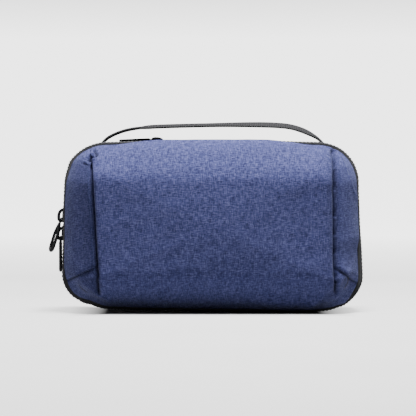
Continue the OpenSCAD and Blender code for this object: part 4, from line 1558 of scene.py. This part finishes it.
def make_mesh_pocket():
    lo, hi = [np.array(c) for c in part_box("mesh_pocket")]
    top_lo, top_hi = [np.array(c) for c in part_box("mesh_pocket_elastic")]
    y = (lo[1] + hi[1]) / 2 - ZIP_Y
    inset = BODY_W / 2 - max(hi[0], top_hi[0]) + 0.6 * MM
    s = np.linspace(0, CLOSED.length, 900, endpoint=False)
    rim = along(CLOSED, s, np.full(len(s), inset), y)
    top = top_hi[2]

    def inside(p):
        """Whether points lie within the pocket's outline."""
        x, z = np.abs(p[..., 0]), p[..., 1]
        cx, cz = FOOT_C
        corner = (z < cz) & (x > cx)
        return ((z < top - 3 * MM) & (z > inset)
                & (~corner | (np.hypot(x - cx, z - cz) < FOOT_R - inset))
                & ((x * math.cos(LEAN) + z * math.sin(LEAN)) < SIDE_REACH - inset))

    def belly(x, z):
        """The net bows towards the middle of the pouch a little."""
        return y + 2.2 * MM * np.cos(np.clip(x / (BODY_W / 2), -1, 1) * math.pi / 2) * smooth(
            inset, top, z) ** 0.7

    build = Builder()
    for direction in (1, -1):
        slope = math.radians(58) * direction
        t = np.array([math.cos(slope), math.sin(slope)])
        n = np.array([-t[1], t[0]])
        for c in np.arange(-0.24, 0.24, 1.9 * MM):
            p = np.array([0, MID_Z]) + n * c + np.outer(np.linspace(-0.2, 0.2, 220), t)
            p = p[inside(p)]
            if len(p) < 3:
                continue
            p = p[np.unique(np.linspace(0, len(p) - 1, max(3, len(p) // 4)).astype(int))]
            q = np.stack([p[:, 0], belly(p[:, 0], p[:, 1]) + direction * 0.12 * MM, p[:, 1]], -1)
            build.add(*tube(q, 0.28 * MM, 5))
    net = build.keep("mesh_net", MESH, "front_cover", "black_mesh", "mesh_pocket")

    # Elastic along its open edge, and a tape that binds its curved edge to the lining
    half = top_hi[0] - 0.4 * MM
    rows, cols = 11, 120
    x = np.linspace(-half, half, cols)
    z = np.linspace(top_lo[2], top_hi[2], rows)
    zz, xx = np.meshgrid(z, x, indexing="ij")
    gather = 0.25 * MM * np.sin(xx / (3.2 * MM) * 2 * math.pi)
    yy = belly(xx, zz) + gather * 0.6
    sagged = zz - 1.2 * MM * np.cos(xx / half * math.pi / 2)
    outer = np.stack([xx, yy + 0.7 * MM, sagged], -1).reshape(-1, 3)
    inner = outer - np.array([0, 1.4 * MM, 0])
    verts, faces, weave = thicken(outer, inner, grid_faces(rows, cols)[:, ::-1],
                                  woven(xx.ravel(), zz.ravel()))
    edge = add_mesh("mesh_pocket_edge", verts, faces, ELASTIC, weave)
    keep(edge, "front_cover", "black_elastic", "mesh_pocket_elastic")

    start = int(np.argmax((rim[:, 0] < 0) & (rim[:, 2] < top)))
    order = np.roll(np.arange(len(s)), -start)
    below = [i for i in order if rim[i, 2] < top]
    path = rim[below]
    path[:, 1] = belly(path[:, 0], path[:, 2])
    sec = rounded_rect(5 * MM, 1.5 * MM, 0.6 * MM, 2)
    rings = [p + np.outer(sec[:, 0] - 1.2 * MM, n) + np.outer(sec[:, 1], AXES[1])
             for p, n in zip(path, upright(CLOSED.at(s[below])[1]))]
    verts, faces = loft(rings)
    u = lengths(path)
    weave = woven(np.repeat(u, 12), np.tile(np.arange(12) * MM, len(u)))
    bound = add_mesh("mesh_pocket_binding", verts, faces, BINDING, weave)
    keep(bound, "front_cover", "black_binding")


make_front()
make_back()
for half_side in (-1, 1):
    make_binding(half_side)
    make_main_zip(half_side)
make_sliders()
make_pocket_zip()
make_handle()
make_spine()
make_divider()
make_loops("small_elastic_loops", 6)
make_loops("large_elastic_loops", 4)
make_mesh_pocket()

# ---------------------------------------------------------------------------
# Floor, light and camera
# ---------------------------------------------------------------------------
# Brightness of the far floor and of the sky over it
GLOW = 3.6
SKY = 0.06


def make_stage():
    n = Nodes("pale_floor")
    speck = n.noise(n.place(), 6.0, 2.0)
    color = n.mix(n.remap(speck, 0.3, 0.7), (0.155, 0.155, 0.155), (0.17, 0.17, 0.17))
    floor = n.shade(color, 0.9, specular=0.1)
    # A lit table: further out from the pouch the floor glows, up to the horizon
    shader = next(x for x in n.tree.nodes if x.type == "BSDF_PRINCIPLED")
    x, y, _ = n.split(n.place())
    # and close by it glows less, fading out just under the pouch: a painted contact shadow in the
    # floor's glow
    beside = n.math("SUBTRACT", n.math("ABSOLUTE", x), 0.090)
    before = n.math("SUBTRACT", n.math("ABSOLUTE", n.add(y, 0.012)), 0.034)
    near_glow_painted_shadow = n.remap(n.math("MAXIMUM", beside, before), -0.004, 0.028, 0.0, 1.55)
    y = n.math("MAXIMUM", y, n.mul(y, -0.35))
    x = n.math("MAXIMUM", n.mul(x, 0.4), n.mul(x, -0.3))
    out = n.math("SQRT", n.add(n.mul(x, x), n.mul(y, y)))
    shader.inputs["Emission Color"].default_value = (1.0, 1.0, 1.0, 1.0)
    n.link(n.add(near_glow_painted_shadow, n.remap(out, 0.5, 1.6, 0.0, GLOW - 1.5)),
           shader.inputs["Emission Strength"])
    under = -0.0002
    corners = [(-6, -6, under), (6, -6, under), (6, 6, under), (-6, 6, under)]
    ob = add_mesh("floor", corners, [(0, 1, 2, 3)], floor, flat=True)
    world = bpy.data.worlds.new("studio")
    world.use_nodes = True
    tree = world.node_tree
    back = tree.nodes["Background"]
    back.inputs[0].default_value = (1.0, 1.0, 1.0, 1.0)
    coord = tree.nodes.new("ShaderNodeTexCoord")
    split = tree.nodes.new("ShaderNodeSeparateXYZ")
    band = tree.nodes.new("ShaderNodeMapRange")
    behind = tree.nodes.new("ShaderNodeMapRange")
    tree.links.new(coord.outputs["Generated"], split.inputs[0])
    tree.links.new(split.outputs["Z"], band.inputs["Value"])
    tree.links.new(split.outputs["Y"], behind.inputs["Value"])
    for node, values in ((band, (0.035, 0.08, GLOW, SKY)), (behind, (0.25, 0.85, 0.5, GLOW))):
        for name, value in zip(("From Min", "From Max", "To Min", "To Max"), values):
            node.inputs[name].default_value = value
    tree.links.new(behind.outputs[0], band.inputs["To Min"])
    tree.links.new(band.outputs[0], back.inputs["Strength"])
    bpy.context.scene.world = world

    light = bpy.data.lights.new("top_light", "AREA")
    light.shape = "RECTANGLE"
    light.size, light.size_y = 0.45, 0.25
    light.energy = 138
    lamp = bpy.data.objects.new("top_light", light)
    lamp.location = (0.09, -0.17, 1.3)
    aim = Vector((0, 0, 0.07)) - Vector((0.09, -0.17, 1.3))
    lamp.rotation_euler = aim.to_track_quat("-Z", "Y").to_euler()
    bpy.context.scene.collection.objects.link(lamp)


def make_camera():
    cam = bpy.data.cameras.new("camera")
    ob = bpy.data.objects.new("camera", cam)
    bpy.context.scene.collection.objects.link(ob)
    distance = 2.2
    elevation = math.radians(1.6)
    # The photo's 416 pixels across span 0.82 mm each at the pouch
    field = 416 * 0.82 * MM
    target = Vector((-0.0037, ZIP_Y, 0.0845))
    ob.location = target + Vector((0, -math.cos(elevation), math.sin(elevation))) * distance
    ob.rotation_euler = (target - ob.location).to_track_quat("-Z", "Y").to_euler()
    cam.sensor_width = 36.0
    cam.lens = 36.0 * distance / field
    cam.clip_end = 50
    bpy.context.scene.camera = ob


make_stage()
make_camera()
